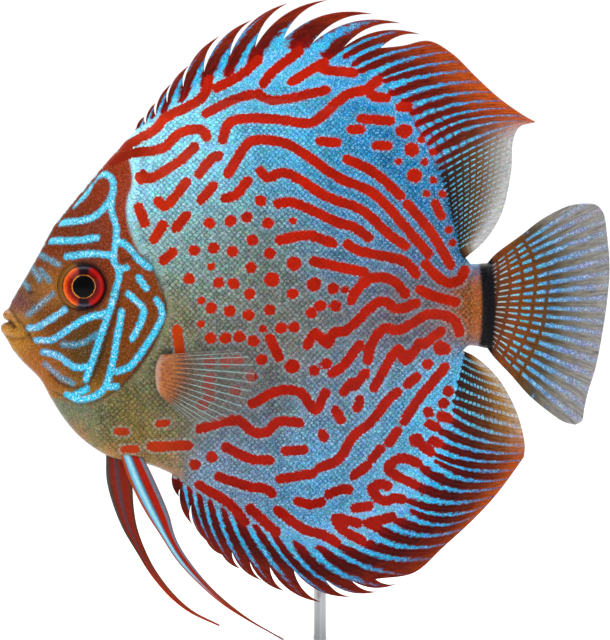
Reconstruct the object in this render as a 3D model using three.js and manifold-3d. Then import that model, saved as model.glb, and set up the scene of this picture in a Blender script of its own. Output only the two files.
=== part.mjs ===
// A life-size discus fish, held over a flat plate by one short rod.
// Millimetres, +Z up. The snout points to -X and the left flank faces -Y.
// Outline points are [along, up]: along is measured back from the snout,
// and up from the level of the lowest fin tip.
import * as THREE from 'three';
import { mergeVertices } from 'three/addons/utils/BufferGeometryUtils.js';
import Module from 'manifold-3d';

const wasm = await Module();
wasm.setup();

// Driving sizes of the fish
const TOTAL_LENGTH = 152.5;
const LIFT = 6.6;
const GAP = 0.3;
const TAIL_BASE_AT = 121.5;
const STALK_CUT_AT = 113;
const BODY_CENTRE = [66, 85];
const FIN_BASE_HALF = 1.9;
const SOFT_RIM_HALF = 0.25;
const FIN_THINNING = 0.7;
const FIN_EDGE_HALF = 0.3;
const LOBE_ROOT_HALF = 0.6;

// Driving sizes of the eye
const EYE_AT = [21, 88];
const EYE_RADIUS = 6.9;
const EYE_HALF_DEPTH = 3.1;
const EYE_CENTRE_SIDE = 6.9;

// Driving sizes of the gill cover
const GILL_PLATE_DEPTH = 1.4;
const GILL_PLATE_RAISE = 0.35;

// Driving sizes of the stand
const PLATE_LENGTH = 108;
const PLATE_WIDTH = 66;
const PLATE_THICKNESS = 6;
const PLATE_CORNER = 9;
const PLATE_BEVEL = 0.8;
const ROD_RADIUS = 1.6;
const ROD_AT = [80, 6.4];
const ROD_TOP_UP = 48;

// Outline of the body without its fins: over the back from the upper lip,
// and under the belly from the tail base
const BACK = [
  [0.75, 81.25], [2.5, 83.25], [6, 90], [10, 97], [13.5, 103.5], [17.5, 108.5], [23.25, 115.5],
  [28.75, 121.75], [34, 127.25], [41.25, 131.25], [50, 134], [65, 135.5], [80, 134.25], [92.5, 130],
  [102.5, 122.5], [110, 112.5], [113.75, 101.25], [115.5, 95.4], [117.5, 94.1], [121.5, 94.2],
];
const BELLY = [
  [121.5, 73], [117.5, 73.6], [115, 72.4], [113.75, 69.5], [110, 61.25], [103.75, 50], [93.75, 39.25],
  [82.5, 33], [71.25, 31], [60, 32.5], [50, 37], [43, 41.5], [36, 44.25], [29.75, 45.2], [26, 46.5],
  [20, 50.75], [16.25, 55], [13, 60], [10, 65.25], [6, 69.25], [3, 72.75], [1.5, 75.75], [0.25, 78.25],
];
const MOUTH_CORNER = [2.25, 79.6];
const DORSAL_START = 34;
const ANAL_START = 43;

// Half the body's thickness along it, seen from above, and the depth over which its edge rounds in
const HALF_THICKNESS = [
  [0, 2.3], [4, 4.2], [12, 6.8], [21, 8.9], [32, 11.2], [42, 12.7], [55, 13.2], [70, 12.8], [85, 11.2],
  [100, 8.4], [110, 6.2], [117, 4.7], [122, 4.1],
];
const ROUNDING_DEPTH = [
  [0, 2.6], [5, 6], [12, 11], [25, 20], [45, 30], [85, 32], [100, 26], [110, 17], [117, 10], [122, 10],
];
const ROUND_POWER = 0.52;
const LENS_POWER = 0.88;
const FIN_START_BLEND = [-2, 8];
const FIN_END_BLEND = [-4, 1.5];
const THINNEST_HALF = 0.05;

// The seams that part the body
const HEAD_REAR = [
  [27.5, 126.2], [32.5, 112.5], [36.5, 100], [39.2, 93.8], [42.2, 82.8], [40.5, 76], [35.2, 67.5],
  [29.2, 61.2], [25.5, 55], [24.5, 42.5],
];
const GILL_FRONT = [
  [13.8, 62.2], [18, 63], [23, 64.5], [26, 73.8], [28.5, 82.5], [30.2, 90.2], [31, 95],
];
const GILL_TOP = [[31, 95], [35, 96.2], [44, 94.6]];
const GILL_LOWER = [[38, 62], [29.6, 61.4], [20.5, 59.2], [16.4, 60]];
const JAW_REAR = [[2.4, 83.5], [4.5, 81.1], [6.8, 78.6], [8.2, 76.3], [8, 74.8]];
const UPPER_JAW_GAPE = [[6.2, 75.2], [5, 76.6], [3.5, 78.1], [2, 79.7]];
const LOWER_JAW_GAPE = [[2, 79.1], [3.3, 77.6], [4.7, 76.1], [5.9, 74.6]];

// Places clear of the body on all sides, where the cutting outlines are closed
const BEHIND_GILL = [50, 80];
const CLEAR_FRONT = -5;
const CLEAR_REAR = 126;
const CLEAR_BELOW = 25;
const CLEAR_ABOVE = 145;
const CLEAR_SIDE = 40;

// Spiny lobes of the fins: each has a free tip, and a notch behind it
const DORSAL_TIPS = [
  [36, 130.8], [38.8, 134.2], [42.8, 139], [47.2, 143.5], [55, 151], [63, 155], [72, 159.2], [82, 160],
  [93.2, 156.5], [100.2, 154.2], [105.2, 151.4],
];
const DORSAL_NOTCHES = [
  [36.5, 129], [39, 131], [41.8, 134.2], [45.8, 138.2], [51, 142], [57.5, 146], [63.8, 148.2],
  [70.8, 150.2], [78, 149.2], [86, 148.2], [95.2, 148],
];
const ANAL_TIPS = [
  [44.8, 35.8], [48.2, 28.8], [52, 24.5], [55.8, 21.2], [60.2, 17.8], [65.8, 14.8], [71.2, 12.2],
  [80.2, 9.5], [88.2, 10.8], [94.8, 12.2], [99.5, 14.2],
];
const ANAL_NOTCHES = [
  [45, 37.8], [47.8, 33.8], [51.2, 25.8], [55, 22.4], [58, 22], [62.5, 19.5], [67.5, 18.2],
  [73.5, 17.4], [81.5, 15], [88, 14.8], [93.9, 15.2],
];
const LOBE_BEND = 0.26;
const LOBE_TIP_WIDTH = 0.35;
const LOBE_OVERLAP = 0.8;
const BAND_START_SHARE = 0.4;

// Free edges of the soft fins, each in two stretches that meet at the fin's corner
const SOFT_DORSAL_FRONT = [
  [95.6, 147.4], [100.8, 148.6], [107.2, 149.8], [113.2, 146.5], [119, 140.8], [124.8, 135.5],
  [131.2, 131], [134, 129.5],
];
const SOFT_DORSAL_REAR = [
  [134, 129.5], [129.8, 128.2], [128.2, 124.5], [127.8, 117.5], [125.8, 107.8], [123.8, 103.5],
  [120.8, 99.4], [116.6, 96.3],
];
const SOFT_ANAL_FRONT = [
  [94.8, 15.4], [103.5, 16.8], [110.8, 23.2], [118.2, 30], [123.8, 36], [128.2, 41.8], [131, 45.8],
];
const SOFT_ANAL_REAR = [
  [131, 45.8], [131.2, 48.8], [130, 54.5], [128.2, 59.2], [125.2, 64.5], [122.2, 68], [118.5, 71],
  [116, 71.9],
];
const SPINY_DORSAL_SHARE = 0.5;
const SPINY_ANAL_SHARE = 0.43;
const FIN_PART_SHARE = 0.006;
const FIN_END_AT = 115;

// The tail fin: its upper and lower edges, and its rear edge between them
const TAIL_TOP = [[121.8, 94.2], [124, 96.6], [130, 101], [135.5, 105.2], [142, 108.5], [145.8, 109.2]];
const TAIL_REAR = [
  [145.8, 109.2], [149, 108.8], [150.8, 106.8], [151.8, 100.8], [152.4, 93], [151.8, 85], [151, 79.2],
  [149, 68.5], [147, 62], [146, 57.5], [145.5, 54.8], [143.8, 53.8],
];
const TAIL_BOTTOM = [
  [121.8, 73], [123.6, 70.6], [127.5, 66.5], [132.2, 61.2], [137, 57.2], [141, 54.5], [143.8, 53.8],
];
const TAIL_BASE_HALF = 3.6;
const TAIL_CORNER_ROUND = 0.08;
const TAIL_THINNING = 0.35;

// Pelvic fins, leading edge and rear edge from root to tip, and how far each stands out to the side
const NEAR_PELVIC_FRONT = [
  [30, 46.9], [32.5, 40], [36.3, 32.5], [40, 26.8], [44.5, 20], [50, 14.2], [55.5, 9.5], [61.2, 5.8],
  [70.8, 0.5],
];
const NEAR_PELVIC_REAR = [
  [36, 45.6], [38.2, 41.2], [40.8, 35.5], [42.6, 31], [43.9, 26.4], [46.2, 22], [53, 13.6], [61.6, 6.4],
  [71, 0.8],
];
const FAR_PELVIC_FRONT = [
  [26.4, 46.9], [26.5, 40], [28, 33.8], [30.5, 27.5], [33.8, 21.8], [37.5, 15.8], [42.5, 10],
  [47.5, 6.2], [54.6, 2.9],
];
const FAR_PELVIC_REAR = [
  [31.6, 46], [32.8, 40], [33.3, 32.5], [34.2, 27.5], [36.2, 22], [38.8, 17], [43.2, 11.2], [48, 6.9],
  [54.9, 3.3],
];
const PELVIC_SIDE = [2.9, 6.5, 8.6, 9.4];
const PELVIC_SIDE_PITCH = 15;
const PELVIC_TWIST = 0.5;
const PELVIC_ROOT_HALF = 0.7;

// Pectoral fins: a fleshy root on the flank behind the gill cover, and a fan of rays
const PECTORAL_ROOT = [[40.4, 71.4], [39.4, 69], [39.2, 66], [39.6, 63], [41, 60.8]];
const PECTORAL_EDGE = [
  [58.5, 72.6], [62.4, 71], [63.8, 67], [62.8, 62], [60, 58], [56, 55.4], [51.5, 54.6], [46.6, 55.8],
];
const PECTORAL_STAND_OFF = 0.7;
const PECTORAL_SPLAY = 5.5;
const PECTORAL_SPREAD = 0.85;
const PECTORAL_ROOT_HALF = 1.3;
const PECTORAL_FLESH_SHARE = 0.45;

// Counts that set how fine the solids are
const BACK_STEPS = 34;
const BELLY_STEPS = 30;
const REAR_STEPS = 4;
const RING_SHARES = [0.975, 0.92, 0.83, 0.69, 0.48, 0.22];
const FRONT_EDGE_STEPS = 11;
const REAR_EDGE_STEPS = 8;
const TAIL_STEPS = 13;
const TAIL_ROWS = 6;
const PELVIC_STEPS = 14;
const PECTORAL_STEPS = 10;
const PECTORAL_ROWS = 4;
const SEAM_STEPS = 16;
const FIN_ROWS = 3;
const BAND_ROWS = 2;
const BAND_STEPS_PER_LOBE = 2;
const LOBE_ROWS = 4;
const SMOOTH_STRETCH = 12;
const RIM_SAMPLES = 200;
const JAW_STEPS = 7;
const GILL_EDGE_STEPS = 6;
const EYE_AROUND = 18;
const EYE_ROWS = 10;
const CORNER_STEPS = 5;
const ROD_AROUND = 16;
const CURVE_DIVISIONS = 400;
const WELD_DISTANCE = 1e-4;

// Small helpers for curves and functions
const smooth = (low, high, value) => THREE.MathUtils.smoothstep(value, low, high);
const mix = THREE.MathUtils.lerp;

function along(points, count) {
  const corners = points.map(([a, up]) => new THREE.Vector3(a, up, 0));
  const curve = new THREE.CatmullRomCurve3(corners, false, 'centripetal');
  curve.arcLengthDivisions = CURVE_DIVISIONS;
  return curve.getSpacedPoints(count).map((p) => [p.x, p.y]);
}

function tableValue(table, at) {
  if (at <= table[0][0]) {
    return table[0][1];
  }
  for (let i = 1; i < table.length; i += 1) {
    const [x0, y0] = table[i - 1];
    const [x1, y1] = table[i];
    if (at <= x1) {
      return mix(y0, y1, (at - x0) / (x1 - x0));
    }
  }
  return table[table.length - 1][1];
}

function distanceToLine(point, line) {
  let best = Infinity;
  for (let i = 1; i < line.length; i += 1) {
    const [ax, ay] = line[i - 1];
    const dx = line[i][0] - ax;
    const dy = line[i][1] - ay;
    const reach = ((point[0] - ax) * dx + (point[1] - ay) * dy) / (dx * dx + dy * dy);
    const share = THREE.MathUtils.clamp(reach, 0, 1);
    best = Math.min(best, Math.hypot(point[0] - ax - share * dx, point[1] - ay - share * dy));
  }
  return best;
}

// From outline points to the part's own frame
const place = (a, side, up) => [a - TOTAL_LENGTH / 2, side, up + LIFT];

function geometryOf(corners, faces) {
  const geometry = new THREE.BufferGeometry();
  geometry.setAttribute('position', new THREE.Float32BufferAttribute(corners.flat(), 3));
  geometry.setIndex(faces.flat());
  return geometry;
}

function solidOf(geometry) {
  let merged = geometry.clone();
  merged.deleteAttribute('normal');
  merged.deleteAttribute('uv');
  merged = mergeVertices(merged, WELD_DISTANCE);
  return new wasm.Manifold(new wasm.Mesh({
    numProp: 3,
    vertProperties: new Float32Array(merged.attributes.position.array),
    triVerts: new Uint32Array(merged.index.array),
  }));
}

function geometryFrom(solid) {
  const { vertProperties, triVerts } = solid.getMesh();
  const geometry = new THREE.BufferGeometry();
  geometry.setAttribute('position', new THREE.BufferAttribute(vertProperties, 3));
  geometry.setIndex(new THREE.BufferAttribute(triVerts, 1));
  return geometry;
}

// The body's rim, with how much each place belongs to the base of a fin
const backRim = along(BACK, BACK_STEPS);
const bellyRim = along(BELLY, BELLY_STEPS);
const roundedEdge = [...bellyRim, MOUTH_CORNER, ...backRim];

function finShare([a, up]) {
  const start = up > BODY_CENTRE[1] ? DORSAL_START : ANAL_START;
  const front = smooth(start + FIN_START_BLEND[0], start + FIN_START_BLEND[1], a);
  const rear = smooth(FIN_END_AT + FIN_END_BLEND[0], FIN_END_AT + FIN_END_BLEND[1], a);
  return front * (1 - rear);
}

function bodyHalf(point, rimPoint, extra) {
  const share = finShare(rimPoint);
  const rim = mix(SOFT_RIM_HALF, FIN_BASE_HALF, share);
  const inward = Math.min(1, distanceToLine(point, roundedEdge) / tableValue(ROUNDING_DEPTH, point[0]));
  const rise = Math.pow(inward * (2 - inward), mix(ROUND_POWER, LENS_POWER, share));
  const full = tableValue(HALF_THICKNESS, point[0]);
  return Math.max(THINNEST_HALF, rim + Math.max(0, full - rim) * rise + extra);
}

// The whole body as one lens-like solid, thicker or thinner on both flanks by a given amount
function bodySolid(extra) {
  const rear = [];
  for (let i = 1; i < REAR_STEPS; i += 1) {
    rear.push([TAIL_BASE_AT, mix(backRim[BACK_STEPS][1], bellyRim[0][1], i / REAR_STEPS)]);
  }
  const rim = [...backRim, ...rear, ...bellyRim, MOUTH_CORNER];
  const count = rim.length;
  const rings = [1, ...RING_SHARES];
  const corners = [];
  for (const flank of [-1, 1]) {
    for (const ring of rings) {
      for (const edge of rim) {
        const point = [0, 1].map((k) => mix(BODY_CENTRE[k], edge[k], ring));
        corners.push(place(point[0], flank * bodyHalf(point, edge, extra), point[1]));
      }
    }
    corners.push(place(BODY_CENTRE[0], flank * bodyHalf(BODY_CENTRE, BODY_CENTRE, extra), BODY_CENTRE[1]));
  }
  const perFlank = rings.length * count + 1;
  const faces = [];
  const quad = (a, b, c, d, flip) => {
    faces.push(flip ? [a, c, b] : [a, b, c], flip ? [a, d, c] : [a, c, d]);
  };
  for (let i = 0; i < count; i += 1) {
    const next = (i + 1) % count;
    for (const flank of [0, 1]) {
      const start = flank * perFlank;
      for (let k = 0; k + 1 < rings.length; k += 1) {
        const outer = start + k * count;
        const inner = outer + count;
        quad(outer + i, inner + i, inner + next, outer + next, flank === 1);
      }
      const last = start + (rings.length - 1) * count;
      const hub = start + perFlank - 1;
      faces.push(flank === 1 ? [last + i, last + next, hub] : [last + next, last + i, hub]);
    }
    quad(i, next, perFlank + next, perFlank + i, false);
  }
  return solidOf(geometryOf(corners, faces));
}

// A prism through the fish from one flank to the other, over a closed outline
function prism(outline, sideFrom = -CLEAR_SIDE, sideTo = CLEAR_SIDE) {
  const corners = outline.map(([a, up]) => new THREE.Vector2(a - TOTAL_LENGTH / 2, up + LIFT));
  const geometry = new THREE.ExtrudeGeometry(new THREE.Shape(corners), {
    depth: sideTo - sideFrom,
    bevelEnabled: false,
  });
  geometry.rotateX(Math.PI / 2);
  geometry.translate(0, sideTo, 0);
  return solidOf(geometry);
}

// An outline grown outward, or shrunk where the amount is negative
function grown(outline, amount) {
  const count = outline.length;
  let area = 0;
  outline.forEach(([a, up], i) => {
    const [b, high] = outline[(i + 1) % count];
    area += a * high - b * up;
  });
  const turn = Math.sign(area);
  return outline.map(([a, up], i) => {
    const before = outline[(i + count - 1) % count];
    const after = outline[(i + 1) % count];
    const dx = after[0] - before[0];
    const dy = after[1] - before[1];
    const long = Math.hypot(dx, dy);
    return [a + (turn * amount * dy) / long, up - (turn * amount * dx) / long];
  });
}

// A closed slab from rows of middle points with a half thickness; the sheet may bend out to the side
function slab(rows) {
  const height = rows.length;
  const width = rows[0].length;
  const corners = [];
  for (const flank of [-1, 1]) {
    for (const row of rows) {
      for (const { a, up, side, half } of row) {
        corners.push(place(a, side + flank * half, up));
      }
    }
  }
  const count = height * width;
  const faces = [];
  const at = (j, i) => j * width + i;
  const quad = (a, b, c, d) => faces.push([a, b, c], [a, c, d]);
  for (let j = 0; j + 1 < height; j += 1) {
    for (let i = 0; i + 1 < width; i += 1) {
      quad(at(j, i), at(j + 1, i), at(j + 1, i + 1), at(j, i + 1));
      quad(count + at(j, i), count + at(j, i + 1), count + at(j + 1, i + 1), count + at(j + 1, i));
    }
    quad(at(j, 0), count + at(j, 0), count + at(j + 1, 0), at(j + 1, 0));
    quad(at(j, width - 1), at(j + 1, width - 1), count + at(j + 1, width - 1), count + at(j, width - 1));
  }
  for (let i = 0; i + 1 < width; i += 1) {
    quad(at(0, i), at(0, i + 1), count + at(0, i + 1), count + at(0, i));
    const last = at(height - 1, i);
    quad(last, count + last, count + last + 1, last + 1);
  }
  const solid = solidOf(geometryOf(corners, faces));
  if (solid.volume() >= 0) {
    return solid;
  }
  return solidOf(geometryOf(corners, faces.map(([a, b, c]) => [a, c, b])));
}

// A sheet ruled from an inner line to an outer line, thinning from one half thickness to the other
function ruledSheet(inner, outer, rows, innerHalf, outerHalf) {
  const grid = [];
  for (let j = 0; j <= rows; j += 1) {
    const share = j / rows;
    grid.push(inner.map(([a, up], i) => ({
      a: mix(a, outer[i][0], share),
      up: mix(up, outer[i][1], share),
      side: 0,
      half: mix(innerHalf, outerHalf, Math.pow(share, FIN_THINNING)),
    })));
  }
  return slab(grid);
}

// One bent, pointed lobe, from the notch before it and the notch behind it to its tip
function lobe(before, behind, tip, bend, inwardTo) {
  const pull = (point) => {
    const long = Math.hypot(inwardTo[0] - point[0], inwardTo[1] - point[1]);
    return [0, 1].map((k) => point[k] + ((inwardTo[k] - point[k]) * LOBE_OVERLAP) / long);
  };
  const bow = (start, share) => {
    const dx = tip[0] - start[0];
    const dy = tip[1] - start[1];
    return [(start[0] + tip[0]) / 2 - dy * bend, (start[1] + tip[1]) / 2 + dx * bend].map(
      (control, k) => (1 - share) ** 2 * start[k] + 2 * share * (1 - share) * control + share ** 2 * tip[k],
    );
  };
  const [front, rear] = [pull(before), pull(behind)];
  const across = [rear[0] - front[0], rear[1] - front[1]];
  const width = Math.hypot(...across);
  const rows = [];
  for (let j = 0; j <= LOBE_ROWS; j += 1) {
    const share = j / LOBE_ROWS;
    const lead = bow(front, share);
    const trail = bow(rear, share);
    const half = mix(LOBE_ROOT_HALF, FIN_EDGE_HALF, share);
    const end = share < 1 ? trail : [0, 1].map((k) => tip[k] + (across[k] * LOBE_TIP_WIDTH) / width);
    rows.push([lead, end].map(([a, up]) => ({ a, up, side: 0, half })));
  }
  return slab(rows);
}

// The stretch of a rim that carries a fin, moved out by the gap, and shared between its two fins
function finBase(rim, from, to, lowShare, highShare, steps) {
  const curve = rim.filter(([a]) => a >= from && a <= to);
  const ordered = curve[0][0] < curve[curve.length - 1][0] ? curve : curve.reverse();
  const line = along(ordered, RIM_SAMPLES);
  const away = (i) => {
    const before = line[Math.max(0, i - 1)];
    const after = line[Math.min(line.length - 1, i + 1)];
    const long = Math.hypot(after[0] - before[0], after[1] - before[1]);
    const out = [(before[1] - after[1]) / long, (after[0] - before[0]) / long];
    const outward = out[0] * (line[i][0] - BODY_CENTRE[0]) + out[1] * (line[i][1] - BODY_CENTRE[1]);
    const turn = Math.sign(outward);
    return [line[i][0] + turn * GAP * out[0], line[i][1] + turn * GAP * out[1]];
  };
  const points = [];
  for (let i = 0; i <= steps; i += 1) {
    points.push(away(Math.round(mix(lowShare, highShare, i / steps) * (line.length - 1))));
  }
  return points;
}

function spinyFin(rim, start, share, tips, notches, bend) {
  const steps = BAND_STEPS_PER_LOBE * notches.length;
  const first = finBase(rim, start, FIN_END_AT, 0, share, steps);
  const edge = along([first[0], ...notches], steps);
  edge[0] = [0, 1].map((k) => mix(first[0][k], edge[1][k], BAND_START_SHARE));
  let fin = ruledSheet(first, edge, BAND_ROWS, FIN_BASE_HALF, LOBE_ROOT_HALF);
  tips.forEach((tip, i) => {
    const before = i === 0 ? first[0] : notches[i - 1];
    fin = fin.add(lobe(before, notches[i], tip, bend, BODY_CENTRE));
  });
  return fin.subtract(bodyClear);
}

function softFin(rim, start, share, front, rear) {
  const edge = [...along(front, FRONT_EDGE_STEPS), ...along(rear, REAR_EDGE_STEPS).slice(1)];
  const first = finBase(rim, start, FIN_END_AT, share + FIN_PART_SHARE, 1, edge.length - 1);
  return ruledSheet(first, edge, FIN_ROWS, FIN_BASE_HALF, FIN_EDGE_HALF);
}

// The tail fin fills the space between its four edges
function tailFin() {
  const top = along(TAIL_TOP, TAIL_ROWS);
  const bottom = along(TAIL_BOTTOM, TAIL_ROWS);
  const rear = along(TAIL_REAR, TAIL_STEPS);
  const grid = [];
  for (let j = 0; j <= TAIL_ROWS; j += 1) {
    const v = j / TAIL_ROWS;
    const line = [];
    for (let i = 0; i <= TAIL_STEPS; i += 1) {
      const u = i / TAIL_STEPS;
      const point = [0, 1].map((k) => {
        const base = mix(top[0][k], bottom[0][k], u);
        const sides = mix(top[j][k], bottom[j][k], u);
        const corner = mix(base, mix(rear[0][k], rear[TAIL_STEPS][k], u), v);
        return mix(base, rear[i][k], v) + sides - corner;
      });
      const roundness = Math.sqrt(Math.max(TAIL_CORNER_ROUND, 1 - (2 * u - 1) ** 2));
      const half = mix(TAIL_BASE_HALF * roundness, FIN_EDGE_HALF, Math.pow(v, TAIL_THINNING));
      line.push({ a: point[0], up: point[1], side: 0, half });
    }
    grid.push(line);
  }
  return slab(grid);
}

function pelvicFin(front, rear, flank) {
  const lead = along(front, PELVIC_STEPS);
  const trail = along(rear, PELVIC_STEPS);
  const side = along(PELVIC_SIDE.map((value, i) => [i * PELVIC_SIDE_PITCH, value]), PELVIC_STEPS);
  const grid = lead.map((point, j) => [0, 0.5, 1].map((share) => ({
    a: mix(point[0], trail[j][0], share),
    up: mix(point[1], trail[j][1], share),
    side: flank * (side[j][1] + PELVIC_TWIST * share),
    half: mix(PELVIC_ROOT_HALF, FIN_EDGE_HALF, j / PELVIC_STEPS),
  })));
  return slab(grid);
}

function pectoralFin(flank) {
  const root = along(PECTORAL_ROOT, PECTORAL_STEPS);
  const edge = along(PECTORAL_EDGE, PECTORAL_STEPS);
  const start = bodyHalf(PECTORAL_ROOT[2], BODY_CENTRE, 0) + PECTORAL_STAND_OFF;
  const grid = [];
  for (let j = 0; j <= PECTORAL_ROWS; j += 1) {
    const v = j / PECTORAL_ROWS;
    const flesh = 1 - smooth(0, PECTORAL_FLESH_SHARE, v);
    grid.push(root.map((point, i) => ({
      a: mix(point[0], edge[i][0], v),
      up: mix(point[1], edge[i][1], v),
      side: flank * (start + PECTORAL_SPLAY * Math.pow(v, PECTORAL_SPREAD)),
      half: mix(FIN_EDGE_HALF, PECTORAL_ROOT_HALF, flesh),
    })));
  }
  return slab(grid).subtract(bodyClear);
}

function ball(at, side, radius, halfDepth) {
  const geometry = new THREE.SphereGeometry(radius, EYE_AROUND, EYE_ROWS);
  geometry.scale(1, halfDepth / radius, 1);
  geometry.translate(...place(at[0], side, at[1]));
  return solidOf(geometry);
}

// Regions of the side view that part the body
const body = bodySolid(0);
const bodyClear = bodySolid(GAP);
const gillSkin = bodySolid(GILL_PLATE_RAISE);
const gillFloor = bodySolid(-GILL_PLATE_DEPTH);
const gillPocketFloor = bodySolid(-GILL_PLATE_DEPTH - GAP);

const headRear = along(HEAD_REAR, SEAM_STEPS);
const headRegion = [[CLEAR_FRONT, 130], [CLEAR_FRONT, 35], ...[...headRear].reverse()];
const trunkFront = headRear.map(([a, up]) => [a + GAP, up]);
const trunkRegion = [
  ...trunkFront,
  [HEAD_REAR.at(-1)[0], CLEAR_BELOW],
  [STALK_CUT_AT, CLEAR_BELOW],
  [STALK_CUT_AT, CLEAR_ABOVE],
  [HEAD_REAR[0][0], CLEAR_ABOVE],
];
const stalkRegion = [
  [STALK_CUT_AT + GAP, CLEAR_BELOW],
  [CLEAR_REAR, CLEAR_BELOW],
  [CLEAR_REAR, CLEAR_ABOVE],
  [STALK_CUT_AT + GAP, CLEAR_ABOVE],
];
const gillRegion = [
  ...along(GILL_FRONT, SMOOTH_STRETCH),
  ...along(GILL_TOP, GILL_EDGE_STEPS).slice(1),
  BEHIND_GILL,
  ...along(GILL_LOWER, GILL_EDGE_STEPS),
];
const upperJawRegion = [
  ...along(JAW_REAR, JAW_STEPS),
  ...along(UPPER_JAW_GAPE, JAW_STEPS),
  [CLEAR_FRONT, 81],
  [CLEAR_FRONT, 88],
];
const lowerJawRegion = [
  ...along(LOWER_JAW_GAPE, JAW_STEPS),
  [4.6, 72.8],
  [2.4, 71.6],
  [CLEAR_FRONT, 71.6],
  [CLEAR_FRONT, 79.3],
];

const headPrism = prism(headRegion);
const gillPrism = prism(gillRegion);
const gillClearance = prism(grown(gillRegion, GAP));
const eye = (flank, room) => ball(
  EYE_AT,
  flank * EYE_CENTRE_SIDE,
  EYE_RADIUS + room,
  EYE_HALF_DEPTH + room,
);

const head = body
  .intersect(headPrism)
  .subtract(gillClearance.subtract(gillPocketFloor))
  .subtract(prism(grown(upperJawRegion, GAP)))
  .subtract(prism(grown(lowerJawRegion, GAP)))
  .subtract(eye(-1, GAP))
  .subtract(eye(1, GAP));
const gillCovers = gillSkin.intersect(gillPrism).intersect(headPrism).subtract(gillFloor);
const wholeView = [
  [CLEAR_FRONT, CLEAR_BELOW],
  [CLEAR_REAR, CLEAR_BELOW],
  [CLEAR_REAR, CLEAR_ABOVE],
  [CLEAR_FRONT, CLEAR_ABOVE],
];
const leftFlank = prism(wholeView, -CLEAR_SIDE, 0);
const rightFlank = prism(wholeView, 0, CLEAR_SIDE);

const trunk = body.intersect(prism(trunkRegion));
const tailStalk = body.intersect(prism(stalkRegion));
const dorsalBase = [backRim, DORSAL_START, SPINY_DORSAL_SHARE];
const analBase = [bellyRim, ANAL_START, SPINY_ANAL_SHARE];
const spinyDorsal = spinyFin(...dorsalBase, DORSAL_TIPS, DORSAL_NOTCHES, LOBE_BEND);
const spinyAnal = spinyFin(...analBase, ANAL_TIPS, ANAL_NOTCHES, -LOBE_BEND);
const softDorsal = softFin(...dorsalBase, SOFT_DORSAL_FRONT, SOFT_DORSAL_REAR);
const softAnal = softFin(...analBase, SOFT_ANAL_FRONT, SOFT_ANAL_REAR);

// The stand: a bevelled plate with round corners, and a rod up to the far flank's underside
function plateSolid() {
  const halfLength = PLATE_LENGTH / 2 - PLATE_BEVEL;
  const halfWidth = PLATE_WIDTH / 2 - PLATE_BEVEL;
  const shape = new THREE.Shape();
  const turns = [[1, 1], [-1, 1], [-1, -1], [1, -1]];
  turns.forEach(([dx, dy], i) => {
    const centre = [dx * (halfLength - PLATE_CORNER), dy * (halfWidth - PLATE_CORNER)];
    const angle = (i * Math.PI) / 2;
    shape.absarc(...centre, PLATE_CORNER, angle, angle + Math.PI / 2);
  });
  const geometry = new THREE.ExtrudeGeometry(shape, {
    depth: PLATE_THICKNESS - 2 * PLATE_BEVEL,
    bevelThickness: PLATE_BEVEL,
    bevelSize: PLATE_BEVEL,
    bevelSegments: 1,
    curveSegments: CORNER_STEPS,
  });
  geometry.translate(0, 0, PLATE_BEVEL);
  return solidOf(geometry);
}

function rodSolid() {
  const bottom = PLATE_THICKNESS + GAP;
  const top = ROD_TOP_UP + LIFT;
  const geometry = new THREE.CylinderGeometry(ROD_RADIUS, ROD_RADIUS, top - bottom, ROD_AROUND);
  geometry.rotateX(Math.PI / 2);
  geometry.translate(ROD_AT[0] - TOTAL_LENGTH / 2, ROD_AT[1], (top + bottom) / 2);
  return solidOf(geometry).subtract(bodyClear);
}

// Finishes, and the named pieces
const finish = (color, roughness, metalness = 0) => ({ color, roughness, metalness });
const SKIN = finish(0x4fb4d8, 0.35);
const CHEEK = finish(0x8a5420, 0.35);
const LIP = finish(0xb8803c, 0.45);
const FIN = finish(0x8c2a14, 0.4);
const TAIL = finish(0x9a6a50, 0.4);
const EYE = finish(0xb81c10, 0.1);
const STEEL = finish(0xb9bcc0, 0.3, 1);
const PLATE = finish(0xe6e6e2, 0.5);

const pieces = {
  head: [head, CHEEK],
  upper_jaw: [body.intersect(prism(upperJawRegion)), LIP],
  lower_jaw: [body.intersect(prism(lowerJawRegion)), LIP],
  gill_cover_left: [gillCovers.intersect(leftFlank), CHEEK],
  gill_cover_right: [gillCovers.intersect(rightFlank), CHEEK],
  eye_left: [eye(-1, 0), EYE],
  eye_right: [eye(1, 0), EYE],
  trunk: [trunk, SKIN],
  tail_stalk: [tailStalk, SKIN],
  dorsal_fin_spiny: [spinyDorsal, FIN],
  dorsal_fin_soft: [softDorsal, FIN],
  anal_fin_spiny: [spinyAnal, FIN],
  anal_fin_soft: [softAnal, FIN],
  tail_fin: [tailFin(), TAIL],
  pectoral_fin_left: [pectoralFin(-1), TAIL],
  pectoral_fin_right: [pectoralFin(1), TAIL],
  pelvic_fin_left: [pelvicFin(NEAR_PELVIC_FRONT, NEAR_PELVIC_REAR, -1).subtract(bodyClear), FIN],
  pelvic_fin_right: [pelvicFin(FAR_PELVIC_FRONT, FAR_PELVIC_REAR, 1).subtract(bodyClear), FIN],
  stand_base: [plateSolid(), PLATE],
  stand_rod: [rodSolid(), STEEL],
};

const fish = new THREE.Group();
for (const [name, [solid, { color, roughness, metalness }]] of Object.entries(pieces)) {
  const material = new THREE.MeshStandardMaterial({ color, roughness, metalness });
  const mesh = new THREE.Mesh(geometryFrom(solid), material);
  mesh.name = name;
  fish.add(mesh);
}

export default fish;
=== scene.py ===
import math

import bpy
import numpy as np
from bpy.props import FloatProperty, FloatVectorProperty, PointerProperty
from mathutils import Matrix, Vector, kdtree
from mathutils.geometry import delaunay_2d_cdt

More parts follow.
